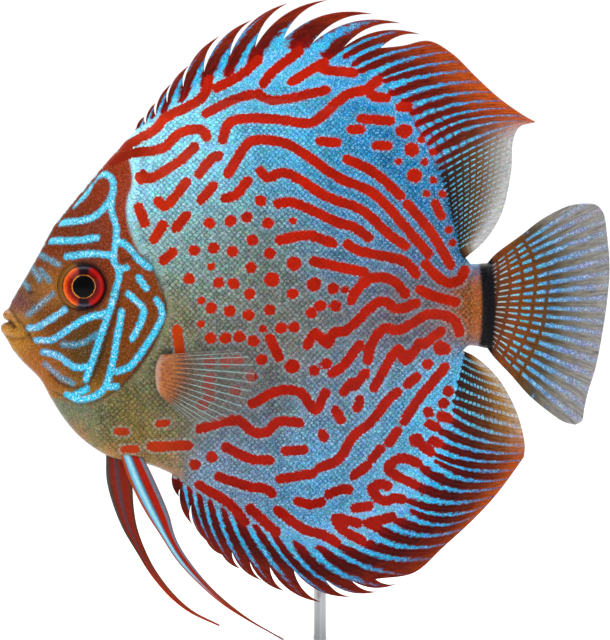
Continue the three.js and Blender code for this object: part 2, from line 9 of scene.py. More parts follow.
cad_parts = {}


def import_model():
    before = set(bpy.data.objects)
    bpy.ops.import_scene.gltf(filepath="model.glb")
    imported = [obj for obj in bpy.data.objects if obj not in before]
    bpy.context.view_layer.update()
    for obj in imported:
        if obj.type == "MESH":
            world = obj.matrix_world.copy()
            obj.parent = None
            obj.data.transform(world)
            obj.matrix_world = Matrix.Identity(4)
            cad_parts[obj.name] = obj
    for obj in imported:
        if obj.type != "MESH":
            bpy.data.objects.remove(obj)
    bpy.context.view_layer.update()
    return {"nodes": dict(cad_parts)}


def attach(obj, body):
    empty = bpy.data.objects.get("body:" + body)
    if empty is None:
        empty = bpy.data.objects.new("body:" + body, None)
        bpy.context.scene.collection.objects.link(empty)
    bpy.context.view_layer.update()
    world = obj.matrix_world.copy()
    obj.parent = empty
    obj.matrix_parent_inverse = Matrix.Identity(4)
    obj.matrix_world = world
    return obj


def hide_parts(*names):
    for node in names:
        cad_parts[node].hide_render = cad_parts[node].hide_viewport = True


bl_info = {
    "name": "Discus fish model",
    "version": (1, 0, 0),
    "blender": (4, 5, 0),
    "location": "3D View > Sidebar > Discus",
    "description": "Builds the skin, scales, fins, eyes, stand and studio of a life-size discus fish",
    "category": "Object",
}

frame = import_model()

# Places are (along, up) in millimetres, as in the solids: along from the snout, up from the lowest fin tip
TOTAL_LENGTH = 152.5
LIFT = 6.6
BODY_CENTRE = np.array([66.0, 85.0])
TAIL_BASE_AT = 121.5
TAIL_MIDDLE = 83.5
BLACK_BAR_AT = 121.4
BLACK_BAR_HALF = 2.1
FIN_BASE_HALF = 1.9
SOFT_RIM_HALF = 0.25

# Outline of the body without its fins, over the back and then under the belly
BACK = (
    (1, 80.4), (0.7, 81.3), (1.2, 82.3), (2.2, 83), (3, 84.8), (6, 90), (10, 97), (13.5, 103.5),
    (17.5, 108.5), (23.25, 115.5),
    (28.75, 121.75), (34, 127.25), (41.25, 131.25), (50, 134), (65, 135.5), (80, 134.25),
    (92.5, 130), (102.5, 122.5), (110, 112.5), (113.75, 101.25), (115.5, 95.4), (117.5, 94.1),
    (121.5, 94.2),
)
BELLY = (
    (121.5, 73), (117.5, 73.6), (115, 72.4), (113.75, 69.5), (110, 61.25), (103.75, 50),
    (93.75, 39.25), (82.5, 33), (71.25, 31), (60, 32.5), (50, 37), (43, 41.5), (36, 44.25),
    (29.75, 45.2), (26, 46.5), (20, 50.75), (16.25, 55), (13, 60), (10, 65.25), (6, 69.25),
    (3.2, 72.6), (1.9, 74.9), (1.1, 76.2), (0.3, 77.4), (0.3, 78.6), (1.1, 79.3),
)
MOUTH_CORNER = (2.25, 79.6)
DORSAL_ROOT = (34, 127.25)
ANAL_ROOT = (43, 41.5)
DORSAL_START = DORSAL_ROOT[0]
ANAL_START = ANAL_ROOT[0]
FIN_END_AT = 115

# Half the body's thickness along it, and the depth over which its edge rounds in
HALF_THICKNESS = (
    (0, 2.3), (4, 4.2), (12, 6.8), (21, 8.9), (32, 11.2), (42, 12.7), (55, 13.2), (70, 12.8),
    (85, 11.2), (100, 8.4), (110, 6.2), (117, 4.7), (122, 4.1),
)
ROUNDING_DEPTH = (
    (0, 2.6), (5, 6), (12, 11), (25, 20), (45, 30), (85, 32), (100, 26), (110, 17), (117, 10), (122, 10),
)

# Free tips of the spiny fins, and the notch behind each
DORSAL_TIPS = (
    (36, 130.8), (38.8, 134.2), (42.8, 139), (47.2, 143.5), (55, 151), (63, 155), (72, 159.2),
    (82, 160), (93.2, 156.5), (100.2, 154.2), (105.2, 151.4),
)
DORSAL_NOTCHES = (
    (36.5, 129), (39, 131), (41.8, 134.2), (45.8, 138.2), (51, 142), (57.5, 146), (63.8, 148.2),
    (70.8, 150.2), (78, 149.2), (86, 148.2), (95.2, 148),
)
ANAL_TIPS = (
    (44.8, 35.8), (48.2, 28.8), (52, 24.5), (55.8, 21.2), (60.2, 17.8), (65.8, 14.8), (71.2, 12.2),
    (80.2, 9.5), (88.2, 10.8), (94.8, 12.2), (99.5, 14.2),
)
ANAL_NOTCHES = (
    (45, 37.8), (47.8, 33.8), (51.2, 25.8), (55, 22.4), (58, 22), (62.5, 19.5), (67.5, 18.2),
    (73.5, 17.4), (81.5, 15), (88, 14.8), (93.9, 15.2),
)
LOBE_BEND = 0.26

# Free edges of the soft fins and of the tail
SOFT_DORSAL_FRONT = (
    (95.2, 148), (100.8, 148.6), (107.2, 149.8), (113.2, 146.5), (119, 140.8), (124.8, 135.5),
    (131.2, 131), (134, 129.5),
)
SOFT_DORSAL_REAR = (
    (134, 129.5), (129.8, 128.2), (128.2, 124.5), (127.8, 117.5), (125.8, 107.8), (123.8, 103.5),
    (120.8, 99.4), (116.4, 95.6),
)
SOFT_ANAL_FRONT = (
    (93.9, 15.2), (103.5, 16.8), (110.8, 23.2), (118.2, 30), (123.8, 36), (128.2, 41.8), (131, 45.8),
)
SOFT_ANAL_REAR = (
    (131, 45.8), (131.2, 48.8), (130, 54.5), (128.2, 59.2), (125.2, 64.5), (122.2, 68), (118.5, 71),
    (115.6, 72.4),
)
TAIL_TOP = ((121.8, 94.2), (124, 96.6), (130, 101), (135.5, 105.2), (142, 108.5), (145.8, 109.2))
TAIL_REAR = (
    (145.8, 109.2), (149, 108.8), (150.8, 106.8), (151.8, 100.8), (152.4, 93), (151.8, 85),
    (151, 79.2), (149, 68.5), (147, 62), (146, 57.5), (145.5, 54.8), (143.8, 53.8),
)
TAIL_BOTTOM = (
    (143.8, 53.8), (141, 54.5), (137, 57.2), (132.2, 61.2), (127.5, 66.5), (123.6, 70.6), (121.8, 73),
)

# Fin rays: a number that rises by one from streak to streak, then root, bend and tip
DORSAL_RAYS = (
    (1, 34.5, 127.8, 34.8, 128.8, 36, 130.8),
    (2, 36, 128.8, 36.6, 131, 38.8, 134.2),
    (3, 38, 129.8, 39.1, 134.6, 42.8, 139),
    (4, 40.8, 130.8, 42, 137.9, 47.2, 143.5),
    (5, 45.5, 133.8, 46.8, 143.6, 55, 151),
    (6, 51.5, 138, 51.8, 146.5, 63, 155),
    (7, 57, 140, 59.5, 151.4, 72, 159.2),
    (8, 63, 143.5, 65.5, 155.2, 82, 160),
    (9, 74, 147, 76.4, 156.2, 93.2, 156.5),
    (10, 81, 144.5, 85.4, 150.6, 100.2, 154.2),
    (11, 85.5, 145, 91.6, 150.8, 105.2, 151.5),
    (12, 87.5, 143, 93.2, 148.1, 108, 149.8),
    (13, 88.5, 141.5, 98.6, 146.8, 110.2, 148),
    (14, 93, 139.5, 102.6, 145.4, 113.8, 145.8),
    (15, 94.5, 139.5, 106.4, 143, 115.8, 143.5),
    (16, 96.5, 135.8, 106.5, 140.6, 118.5, 141),
    (17, 100, 134, 109.6, 138.4, 120.8, 138.2),
    (18, 101.8, 131, 111.1, 136.1, 124, 135.8),
    (19, 103, 128.2, 112.6, 134, 126.8, 133.8),
    (20, 104.5, 125.5, 114.8, 132.8, 130, 132),
    (21, 106, 123.2, 115.2, 132, 133.5, 129.8),
    (22, 107.2, 121, 117.6, 128.8, 131.5, 129.5),
    (23, 108.2, 118.8, 120.6, 125.5, 128.5, 128.2),
    (27, 110.2, 112.5, 121, 120.2, 127.8, 123),
    (33, 112.2, 106, 120.5, 112.9, 126.8, 115.2),
    (39, 113.8, 100, 118.8, 104, 122.8, 105),
    (42, 114.5, 97, 116.1, 98.4, 119.2, 99.2),
)
ANAL_RAYS = (
    (1, 45, 41, 45, 34.9, 48, 29.2),
    (2, 47.2, 39.2, 48, 31, 51.8, 24.8),
    (3, 49.8, 37.5, 50.4, 28.1, 55.5, 21.2),
    (4, 52.5, 35.8, 53.8, 25.2, 60, 17.8),
    (5, 55.5, 33.8, 58.1, 23.1, 65.2, 15),
    (6, 59, 31.8, 62.9, 21.4, 71.2, 12.5),
    (7, 63.8, 29.5, 68.5, 19.4, 80.2, 9.8),
    (8, 68, 27.5, 75, 13.8, 88, 11),
    (9, 73.5, 25.5, 79.5, 13.6, 94.5, 12.2),
    (10, 79, 24.2, 86.8, 16, 99.5, 14.8),
    (11, 83.5, 24.8, 92.8, 17.6, 105, 18),
    (12, 90.5, 24.8, 99.9, 19.6, 111.8, 23),
    (13, 93, 29, 102, 21.9, 115, 26.2),
    (14, 98, 30.8, 107, 24.6, 118, 30),
    (15, 102, 33, 110.5, 27.4, 120, 32.2),
    (16, 100.5, 35.2, 111.5, 30.5, 122.5, 34.8),
    (17, 103.5, 39, 112, 34, 124.5, 37),
    (18, 104.5, 44, 112.5, 36.2, 126.5, 39.5),
    (19, 108, 45.5, 118, 39, 128, 41.5),
    (20, 107, 47.2, 114.6, 42.5, 129.8, 43.8),
    (21, 109, 49.5, 119, 44.2, 131, 46),
    (22, 108.5, 53.2, 117.1, 47.6, 131.2, 47.5),
    (23, 111.5, 56, 119.8, 49.6, 131, 49.8),
    (24, 112.5, 58, 120.5, 53.1, 130.5, 51.8),
    (25, 112.5, 60, 120.9, 56.8, 129.8, 54.5),
    (26, 113.2, 62.2, 121.2, 58.9, 129.2, 57),
    (27, 113.8, 64.8, 121.1, 60.9, 128, 59.5),
    (28, 114.5, 66.8, 120.6, 63.5, 126.2, 62.2),
    (29, 115, 68.5, 120.2, 65.4, 124.5, 64.8),
    (30, 115.5, 70, 118.6, 67.9, 122.2, 67.2),
    (31, 116, 71.5, 117.4, 70.8, 119.2, 70),
)
TAIL_RAYS = (
    (0, 122.6, 93.6, 131, 101, 144, 109.4),
    (3, 122.8, 90.8, 134, 97.5, 151.5, 103.5),
    (6, 123, 87.4, 137, 90.5, 152.6, 93.5),
    (9, 123, 83.8, 137, 84, 152.4, 84),
    (12, 123, 80.4, 137, 77.5, 150.6, 75),
    (15, 122.8, 76.8, 134, 70.2, 147.8, 64.5),
    (18, 122.6, 73.6, 130.5, 64.6, 143.6, 53.6),
)

# Regions and lines of the head
HEAD_EDGE = (
    (22, 125), (31.2, 122.6), (32.6, 119.6), (33, 118), (33.4, 114), (32.2, 110), (32, 106),
    (33.2, 101), (35.4, 96.4), (38.4, 92.8), (40, 89),
    (42, 82.8), (40.4, 76.8), (35.4, 68.4), (29, 62.3), (21, 59.2), (15, 60.5), (-2, 62), (-2, 100),
)
GILL_EDGE = (
    (31, 94.5), (35.4, 96), (38.5, 92.8), (41.8, 82.8), (40, 76.8), (34.8, 68.2), (28.8, 62.2),
    (20.5, 59.2), (13.8, 62.2),
)
CHEEK_GROOVE = (
    (30.5, 87.5), (29.5, 82.5), (27.2, 76.5), (25, 69.5), (22, 64), (19, 63.2), (15, 64.5), (12.5, 67),
)
MOUTH_GAPE = ((2.25, 79.7), (3.1, 79.2), (3.9, 78.2))
UPPER_LIP = ((1.3, 81.3), (3, 80.2), (4.5, 78), (5.5, 76.3))
LOWER_LIP = ((1, 78), (2.5, 77.4), (3.6, 76.6))
LIP_REAR = (
    (2.2, 82.8), (3.3, 82), (4, 81), (4.8, 80), (5.8, 79), (6.8, 77.8), (7.5, 76.5), (8.2, 75.1),
)
CHIN_FOLD = ((1.4, 76), (3, 75.7), (5, 75.4), (6.5, 75.5), (7.6, 76.4))
NOSTRIL = (7.8, 87)
EYE_AT = (21.3, 88.3)
EYE_RADIUS = 6.8
EYE_HALF_DEPTH = 3.0
EYE_CENTRE_SIDE = 6.9
SOCKET_RADIUS = 6.05

# Pelvic fins, leading and rear edges from root to tip, and how far they stand out
NEAR_PELVIC_FRONT = (
    (30, 46.9), (32.5, 40), (36.3, 32.5), (40, 26.8), (44.5, 20), (50, 14.2), (55.5, 9.5),
    (61.2, 5.8), (70.8, 0.5),
)
NEAR_PELVIC_REAR = (
    (36, 45.6), (38.2, 41.2), (40.8, 35.5), (42.6, 31), (43.9, 26.4), (46.2, 22), (53, 13.6),
    (61.6, 6.4), (71, 0.8),
)
FAR_PELVIC_FRONT = (
    (26.4, 46.9), (26.5, 40), (28, 33.8), (30.5, 27.5), (33.8, 21.8), (37.5, 15.8), (42.5, 10),
    (47.5, 6.2), (54.6, 2.9),
)
FAR_PELVIC_REAR = (
    (31.6, 46), (32.8, 40), (33.3, 32.5), (34.2, 27.5), (36.2, 22), (38.8, 17), (43.2, 11.2),
    (48, 6.9), (54.9, 3.3),
)
PELVIC_SIDE = (2.9, 6.5, 8.6, 9.4)
PELVIC_COLUMNS = 14

# Pectoral fins: the root on the flank, and the free edge of the fan
PECTORAL_ROOT = ((40.4, 71.4), (39.4, 69), (39.2, 66), (39.6, 63), (41, 60.8))
PECTORAL_EDGE = (
    (58.5, 72.6), (62.4, 71), (63.8, 67), (62.8, 62), (60, 58), (56, 55.4), (51.5, 54.6), (46.6, 55.8),
)
PECTORAL_RAYS = 15
# Line under the top of the pectoral fin's root where a shadow is painted on the flank
PECTORAL_SHADOW = ((41.4, 72), (43.2, 72.2))

FLESH_NODES = (
    "head", "upper_jaw", "lower_jaw", "gill_cover_left", "gill_cover_right", "trunk", "tail_stalk",
    "dorsal_fin_spiny", "dorsal_fin_soft", "anal_fin_spiny", "anal_fin_soft", "tail_fin",
    "pelvic_fin_left", "pelvic_fin_right",
)

# Pelvic fins across their width, near the root and along the thread
NEAR_PELVIC_COLOURS = (
    (0, "#B04814"), (0.1, "#8C2408"), (0.18, "#48C0E0"), (0.3, "#B4E0EC"), (0.4, "#38A8CC"),
    (0.48, "#6C1C0C"), (0.6, "#AC1804"), (0.78, "#9C2008"), (0.88, "#3C90A8"), (1, "#8C3010"),
)
FAR_PELVIC_COLOURS = (
    (0, "#344850"), (0.15, "#5C2C18"), (0.3, "#8C1C08"), (0.45, "#48404C"), (0.56, "#7C2410"),
    (0.75, "#901C08"), (0.9, "#6C3020"), (1, "#4C2C20"),
)
PELVIC_THREAD = ((0, "#C84008"), (0.35, "#B83008"), (0.5, "#A02C0C"), (0.7, "#90402C"), (1, "#98604C"))

# Red stripes and spots, and the pale lines of the head, as centre lines and centres
NAPE_STRIPES = (
    ((27.8, 119.5), (33, 121.5), (39.2, 122.2), (42, 123.5), (44, 125.8), (46.8, 127.2),
     (49.2, 127.5), (51.2, 126.8), (51.8, 125.5)),
    ((31.2, 123.2), (39.5, 128), (40.8, 130), (50, 135), (51.5, 137.2), (52.2, 140)),
    ((35.8, 115.8), (37.8, 115.2), (40, 116.2), (45.5, 119.8), (48.8, 123)),
    ((50, 116.2), (53, 120), (54.8, 120.8)),
    ((39.8, 109.5), (41.5, 108.2), (46.8, 114.2)),
    ((44.2, 102.8), (46.8, 105.8)),
    ((50.5, 109.8), (53.5, 113.2)),
    ((56.5, 110.2), (58.8, 110.8), (62, 114.5)),
    ((35, 108), (36.5, 104)),
    ((38.8, 100), (41, 103.5)),
    ((41.2, 94.8), (43.5, 96.8)),
)
BACK_STRIPES = (
    ((55.8, 124.8), (57.2, 128.8), (59.5, 130), (69, 130), (76.2, 129), (79.2, 129.8), (86.5, 136.2),
     (91.5, 137.5)),
    ((91.5, 137.5), (94.5, 139.8)),
    ((91.5, 137.5), (93.2, 136), (96.5, 135.5)),
    ((57.2, 116.2), (62.2, 124), (64.8, 124.8), (71.2, 124), (76.2, 121.2), (84.8, 115.2),
     (91.5, 112.5), (94.5, 110.5), (107, 96.5)),
    ((65.2, 117), (67, 115.2), (70, 116.5), (73, 116), (81.2, 110.8), (91, 107), (96, 102.2),
     (101.2, 98.5)),
    ((69.5, 108.8), (73, 109.2), (84.8, 104), (88, 103.2), (92, 100.5)),
    ((70, 99.8), (77.2, 101), (83.2, 99)),
    ((86.8, 98.8), (89.5, 97.2), (99.8, 95), (102, 93.8), (103.8, 91.5)),
    ((78.5, 94.5), (91, 91.8)),
    ((86.8, 120), (93, 117), (100, 111)),
    ((101.8, 108.8), (107.5, 102.2), (112.5, 93.8)),
    ((106.2, 93.8), (110.2, 90), (112.5, 89.2), (114.8, 90), (116.2, 92.5)),
    ((105, 87.5), (108, 86), (113.8, 84.5)),
    ((87.8, 84.8), (88.8, 87), (90.8, 89.2), (93.2, 90.5), (96, 90.5), (98.5, 89.5), (101.2, 86.5)),
)
FLANK_STRIPES = (
    ((76.8, 73.8), (79, 76.8), (81.8, 74), (83.5, 77), (86.2, 77.2), (94, 84.2), (96.5, 84.5),
     (98.5, 83), (101, 83), (103.8, 84.2)),
    ((91.8, 70), (92.5, 73.5), (96, 78), (98.5, 77.5), (101, 78), (106.2, 81.2), (109, 81.5),
     (111.8, 80.8), (113.8, 79.5), (114.8, 76.8)),
    ((106, 74), (110, 77.2)),
    ((93.5, 63.2), (99.5, 72.8), (101.2, 70), (104.8, 74.2)),
    ((83, 66.8), (85.5, 68.5), (89.8, 73.8)),
    ((86, 62.2), (87.8, 64.5)),
    ((88.5, 63.5), (91.2, 66.8)),
    ((89.2, 58.2), (89.8, 60.2)),
    ((83.8, 57.5), (85.2, 55.2)),
    ((63.2, 59.2), (69.8, 62.5), (75.2, 62), (78.8, 57.5), (81.2, 62)),
    ((50.2, 53), (59.5, 55.2), (63.5, 52.2), (66.8, 52.2), (69.5, 54.8), (74.8, 54.5)),
    ((71.5, 47.5), (75.8, 47.8)),
    ((56.5, 48.5), (62.8, 45.5), (67.5, 45.2)),
    ((79.8, 43.2), (84.8, 45.5), (88, 50.8), (92.8, 54.8), (97, 60.2), (99.2, 62)),
    ((70.2, 40.5), (78, 41.8)),
    ((88.5, 41.2), (91.8, 43.8)),
    ((93, 45.5), (95, 47.8)),
    ((97.2, 49.5), (99.2, 52.2)),
    ((101.8, 64), (104, 65.8)),
    ((101, 54.8), (104.2, 59.8), (111.2, 68.2)),
    ((67.5, 75.5), (69.8, 70.8)),
    ((44.5, 77.5), (45.5, 71.2)),
)
BELLY_STRIPES = (
    ((38, 48.5), (47.2, 48.8)),
    ((54.8, 41), (62.5, 38.5), (66.5, 38), (68, 36.8)),
    ((49.8, 38.8), (57.8, 33.8), (61.2, 29.5)),
    ((62.5, 33), (69, 27)),
    ((69.5, 32.5), (75.5, 28), (81.5, 26), (84, 24.5)),
    ((74.5, 34.8), (77.5, 34), (80.2, 34.5)),
    ((82.2, 36.5), (85.2, 37.8), (87.2, 37.8)),
    ((88.8, 33), (92.2, 33.5)),
    ((97, 38.5), (95, 39), (93, 38), (94, 36), (96.2, 34.8), (99, 35.5), (100.5, 35.2)),
    ((89.5, 29.2), (84, 30.5), (85.5, 27.8), (90.5, 24.8)),
    ((92, 29.2), (98, 30.8)),
    ((92, 29.2), (94, 28.5)),
    ((104, 50), (107.5, 47)),
    ((107.2, 54), (109, 53.2)),
    ((110.2, 56), (112, 55.5)),
    ((108.2, 49.8), (109.5, 49.2)),
    ((104.5, 44.2), (101, 45.5), (98.5, 44.8), (97, 43), (99, 41.2), (103.5, 39)),
    ((80.5, 51.8), (81, 50.8)),
)
CHEST_MARKS = (
    ((29.5, 52.2), (31.8, 52.2)),
    ((40, 54.2), (42, 54.5)),
    ((31.2, 47.8), (34.2, 47.8)),
)
DORSAL_STRIPES = (
    ((51.5, 131.5), (58, 134.8), (64.5, 136.5), (65.8, 135.5), (69, 134.8), (81.5, 137.5)),
    ((54.2, 138), (60.2, 141.2), (64.5, 145)),
    ((65.8, 139), (68.2, 142), (74.8, 147.2)),
    ((73, 139.5), (81, 144.5)),
    ((81, 142.5), (88.5, 141.8)),
    ((80, 124.5), (84, 124.2)),
    ((87.8, 127.5), (90.2, 127.5)),
    ((90.2, 130.2), (97.5, 129.8)),
    ((94, 123.5), (97, 123.5)),
    ((100, 133.2), (102, 133.2)),
    ((100, 127.2), (102, 127.5)),
    ((108.8, 109), (110.2, 106)),
)
FLANK_SPOTS = (
    (48.8, 97.2), (53.5, 97.8), (58.2, 97), (63.2, 99.8), (67.5, 96.5), (62.8, 93), (47.5, 90.2),
    (54.8, 89.2), (58.5, 89), (62.5, 86.5), (73.2, 86.5), (83.2, 87.8), (83.8, 83.5), (53, 83),
    (57.5, 82.2), (62.2, 81.2), (67.5, 82.5), (77.8, 81.8), (80, 83.5), (70.2, 78), (73.5, 78.2),
    (52.8, 75.5), (56.5, 75.5), (60, 75.8), (63.5, 74.8), (78.5, 67.5), (81.5, 69.2), (52.5, 69.5),
    (52.5, 65.5), (52, 63.5), (52.5, 61), (50.8, 59), (56.5, 69.5), (59.5, 70), (63, 66), (59, 62.5),
    (65.5, 70.2), (53, 46), (48.8, 44), (107, 57), (111.2, 72.8), (65.2, 109.5), (52.5, 104),
    (57.8, 104.5), (61.8, 105.5), (67, 104), (106.8, 69), (110.8, 59.2), (112, 62.2),
)
LARGE_SPOTS = (
    (68, 90), (73.5, 94), (78.5, 88.8), (73, 68.5), (101, 127.2), (102.8, 122.5), (103.5, 116),
    (35.8, 115.5), (104, 50), (110, 73),
)
SMALL_SPOTS = (
    (53, 93.2), (65.8, 77.8), (73.2, 104.5), (86.2, 87.5), (77.2, 74),
    (50.5, 84.8), (50.5, 79), (99.5, 119.5), (106, 119.5), (108.2, 122), (105.2, 125), (108.2, 115),
    (106.5, 111.5), (112, 102.5), (113, 99.2), (110.5, 111.5),
)
SPOTS = ((FLANK_SPOTS, 1.45), (LARGE_SPOTS, 1.85), (SMALL_SPOTS, 1.0))
HEAD_LINES = (
    ((18.2, 108.5), (21.5, 111.5), (23.5, 115), (26, 116.5), (28.2, 115), (28.5, 112), (27.2, 109),
     (25.5, 107), (22.8, 105.2), (15, 104.2)),
    ((28.5, 112), (28, 108), (29.5, 102.5), (28.8, 94.5), (30, 92.5), (30, 90), (21.8, 65.2)),
    ((12, 99.8), (20, 99.8), (24.5, 100.5)),
    ((17, 95.8), (23.5, 96.5), (29, 96)),
    ((29.5, 99.8), (32, 98.5), (35.5, 94.5), (37.8, 93)),
    ((30, 92.5), (32, 93)),
    ((35, 90.5), (37, 87.8)),
    ((32.5, 86.5), (36, 83), (36.2, 81), (33.5, 75.5)),
    ((39.5, 85), (40.8, 82.5), (40.8, 80.5), (35, 71), (32.5, 68.2), (29.5, 67.2)),
    ((30.8, 82.2), (27.2, 64.5), (25.2, 61.8), (23, 60.8), (20, 60.2), (17, 61.5)),
    ((27.2, 81.8), (21, 80), (13.5, 75.2), (9.5, 75)),
    ((16.5, 82.5), (9.5, 78.2), (7.5, 78)),
    ((11.2, 72), (14.5, 71.2), (19.2, 68.2), (22.5, 68.5)),
    ((22, 63), (19, 61.2)),
    ((27.5, 63.5), (29.5, 63.5)),
)
FAINT_HEAD_LINES = (
    ((11.5, 69), (15.8, 65.5), (18.5, 64.2)),
    ((13.5, 86.5), (7.2, 81.2)),
    ((8.2, 93), (10.2, 90)),
    ((10.5, 92.5), (12.5, 89.8)),
    ((6, 89.5), (7.2, 88)),
    ((9.8, 96.5), (15, 93.8)),
    ((16, 74), (19.5, 73.8), (24.8, 76.5)),
)

# The photo's frame and the studio, in metres and watts
FRAME_HEIGHT = 0.16
FRAME_MIDDLE = 0.0866
SKY_STRENGTH = 0.3
LIGHTS = (
    ("key light", (-0.7, -1.0, 0.9), 0.7, 7.5),
    ("fill light", (0.9, -1.1, 0.35), 0.8, 3.0),
    ("top light", (0.1, 0.1, 1.2), 0.9, 6.0),
    ("backdrop light", (0.0, 0.5, 1.4), 1.4, 32.0),
)

# Colours of the body by place: where, how far it spreads, and the colour
BODY_COLOURS = (
    ((33, 119), 6, "#98DCEC"), ((48, 118), 9, "#80D8F0"), ((70, 122), 10, "#48B0DC"),
    ((95, 120), 11, "#1884BC"), ((108, 104), 6, "#0C689C"), ((48, 99), 8, "#84A8A4"),
    ((43, 83), 5, "#7A7650"), ((62, 97), 10, "#74867C"), ((88, 99), 9, "#4084B0"),
    ((70, 80), 12, "#76766E"), ((98, 83), 8, "#6C5E64"), ((46, 64), 7, "#6C6A48"),
    ((28, 53), 5, "#745F20"), ((40, 50), 5, "#806C3C"), ((62, 60), 9, "#6C7074"),
    ((90, 62), 9, "#688CA8"), ((60, 44), 7, "#6C8CA8"), ((80, 42), 9, "#54A0CC"),
    ((106, 56), 7, "#40B4E4"), ((117, 83), 3.5, "#94501C"), ((24, 54), 4, "#606E5C"),
    ((20, 51), 2, "#985C28"), ((27, 46.5), 2.2, "#A07040"), ((34, 45), 2.2, "#A07848"),
    ((42, 43), 2.2, "#9C7850"),
)
HEAD_COLOURS = (
    ((22, 113), 6, "#6C2808"), ((14, 101), 5, "#702C08"), ((30, 112), 5, "#902C02"),
    ((33, 98), 5, "#803002"), ((8, 88), 4, "#6C4828"), ((4.5, 84), 2, "#643848"),
    ((3, 80), 2, "#B07C38"), ((20, 98), 5, "#602408"), ((16, 76), 6, "#643002"),
    ((21, 73), 4, "#30340C"), ((34, 82), 6, "#703402"), ((34, 70), 5, "#6C3802"),
    ((5, 76), 3, "#A87424"), ((11, 68), 4, "#985818"), ((20, 56), 5, "#886018"),
    ((13, 88), 2.6, "#9C6420"), ((16, 93.5), 2, "#905018"), ((29, 85), 2, "#80400C"),
)
RED_COLOURS = (
    ((28, 119), 4, "#481002"), ((32, 122.5), 3.5, "#641402"), ((38, 116), 9, "#B42600"),
    ((30, 50), 8, "#A43002"), ((45, 75), 3, "#A84402"), ((50, 80), 12, "#B42600"),
    ((80, 100), 22, "#AC1800"), ((85, 60), 22, "#981000"), ((110, 90), 14, "#A01C00"),
)
LINE_COLOURS = (
    ((25, 105), 14, "#50B8D8"), ((28, 75), 12, "#30B4DC"), ((10, 84), 5, "#6CA0BC"),
    ((12, 70), 4, "#6894B8"), ((36, 92), 8, "#44B0D0"),
)

# Colours of the fins from root to margin: between the streaks, and of the streaks
DORSAL_FIN = ((0, "#900400"), (0.2, "#600A04"), (0.5, "#5C1608"), (0.75, "#94380C"), (1, "#B44C14"))
ANAL_FIN = ((0, "#8C0400"), (0.2, "#580402"), (0.5, "#3C0806"), (0.78, "#64200A"), (1, "#AC4C14"))
FRONT_STREAK = ((0, "#30C0EC"), (0.35, "#20A8DC"), (0.6, "#2C90C8"), (0.85, "#5C6890"), (1, "#80505C"))
REAR_DORSAL = ((0, "#20100A"), (0.25, "#3A2416"), (0.5, "#644426"), (0.75, "#8C8478"), (1, "#B0B0B0"))
REAR_ANAL = ((0, "#20100A"), (0.3, "#3A2014"), (0.55, "#603A1A"), (0.8, "#946C38"), (1, "#AC9880"))
REAR_STREAK = ((0, "#30B4D0"), (0.4, "#60B0C8"), (0.7, "#94A8B8"), (1, "#B8B8B8"))
TAIL_FIN = (
    (0, "#482818"), (0.2, "#743810"), (0.42, "#5C3814"), (0.56, "#4A4030"), (0.72, "#706C62"),
    (1, "#888684"),
)
TAIL_STREAK = (
    (0, "#C0B0AC"), (0.1, "#A4BCC0"), (0.25, "#48A8C4"), (0.5, "#4C94C4"), (0.75, "#7084A8"),
    (1, "#8E909C"),
)
BLACK_BAR = "#08080C"
SPINE_TIP = "#701408"

# How the mesh and the markings are drawn, in millimetres
BODY_PITCH = 0.66
HEAD_PITCH = 0.46
EDGE_PITCH = 0.5
FAINT_BARS = (67.0, 84.0, 99.0)
COAT_DEPTH = 0.16
SCALE_ROW = 0.52
FIN_EDGE_HALF = 0.22
FIN_ROOT_FADE = 6.0
STRIPE_HALF = 1.3
CHEST_MARK_HALF = 0.95
DORSAL_STRIPE_HALF = 1.25
LINE_HALF = 0.92
FAINT_LINE_HALF = 0.7
FAR = 3.0
SEED = 7


def linear(colour):
    """sRGB hex to linear red, green and blue"""
    parts = [int(colour[i:i + 2], 16) / 255 for i in (1, 3, 5)]
    return [c / 12.92 if c <= 0.04045 else ((c + 0.055) / 1.055) ** 2.4 for c in parts]


def step(low, high, value):
    share = np.clip((value - low) / (high - low), 0, 1)
    return share * share * (3 - 2 * share)


def curve(start, bend, tip, share):
    """Points on a bent line that leaves towards bend and ends at tip"""
    return (1 - share) ** 2 * start + 2 * share * (1 - share) * bend + share**2 * tip


def plot(places):
    """A tree that finds the nearest of many places in the side view"""
    tree = kdtree.KDTree(len(places))
    for i, (a, up) in enumerate(places):
        tree.insert((a, up, 0), i)
    tree.balance()
    return tree


def smooth_line(points, per_span=8):
    """A smooth line through the points, closer together where they are"""
    points = np.asarray(points, float)
    points = np.vstack([2 * points[0] - points[1], points, 2 * points[-1] - points[-2]])
    share = np.linspace(0, 1, per_span, endpoint=False)[:, None]
    rows = []
    for a, b, c, d in zip(points, points[1:], points[2:], points[3:]):
        ab, bc, cd = (math.dist(u, v) ** 0.5 for u, v in ((a, b), (b, c), (c, d)))
        out = ((b - a) / ab - (c - a) / (ab + bc) + (c - b) / bc) * bc
        back = ((c - b) / bc - (d - b) / (bc + cd) + (d - c) / cd) * bc
        rows.append(
            (2 * share**3 - 3 * share**2 + 1) * b
            + (share**3 - 2 * share**2 + share) * out
            + (3 * share**2 - 2 * share**3) * c
            + (share**3 - share**2) * back
        )
    return np.vstack([*rows, points[-2:-1]])


def spaced(line, pitch):
    """The same line with points at even distances"""
    lengths = np.hypot(*np.diff(line, axis=0).T)
    at = np.concatenate([[0], np.cumsum(lengths)])
    want = np.linspace(0, at[-1], max(2, round(at[-1] / pitch)) + 1)
    return np.stack([np.interp(want, at, line[:, k]) for k in (0, 1)], 1)


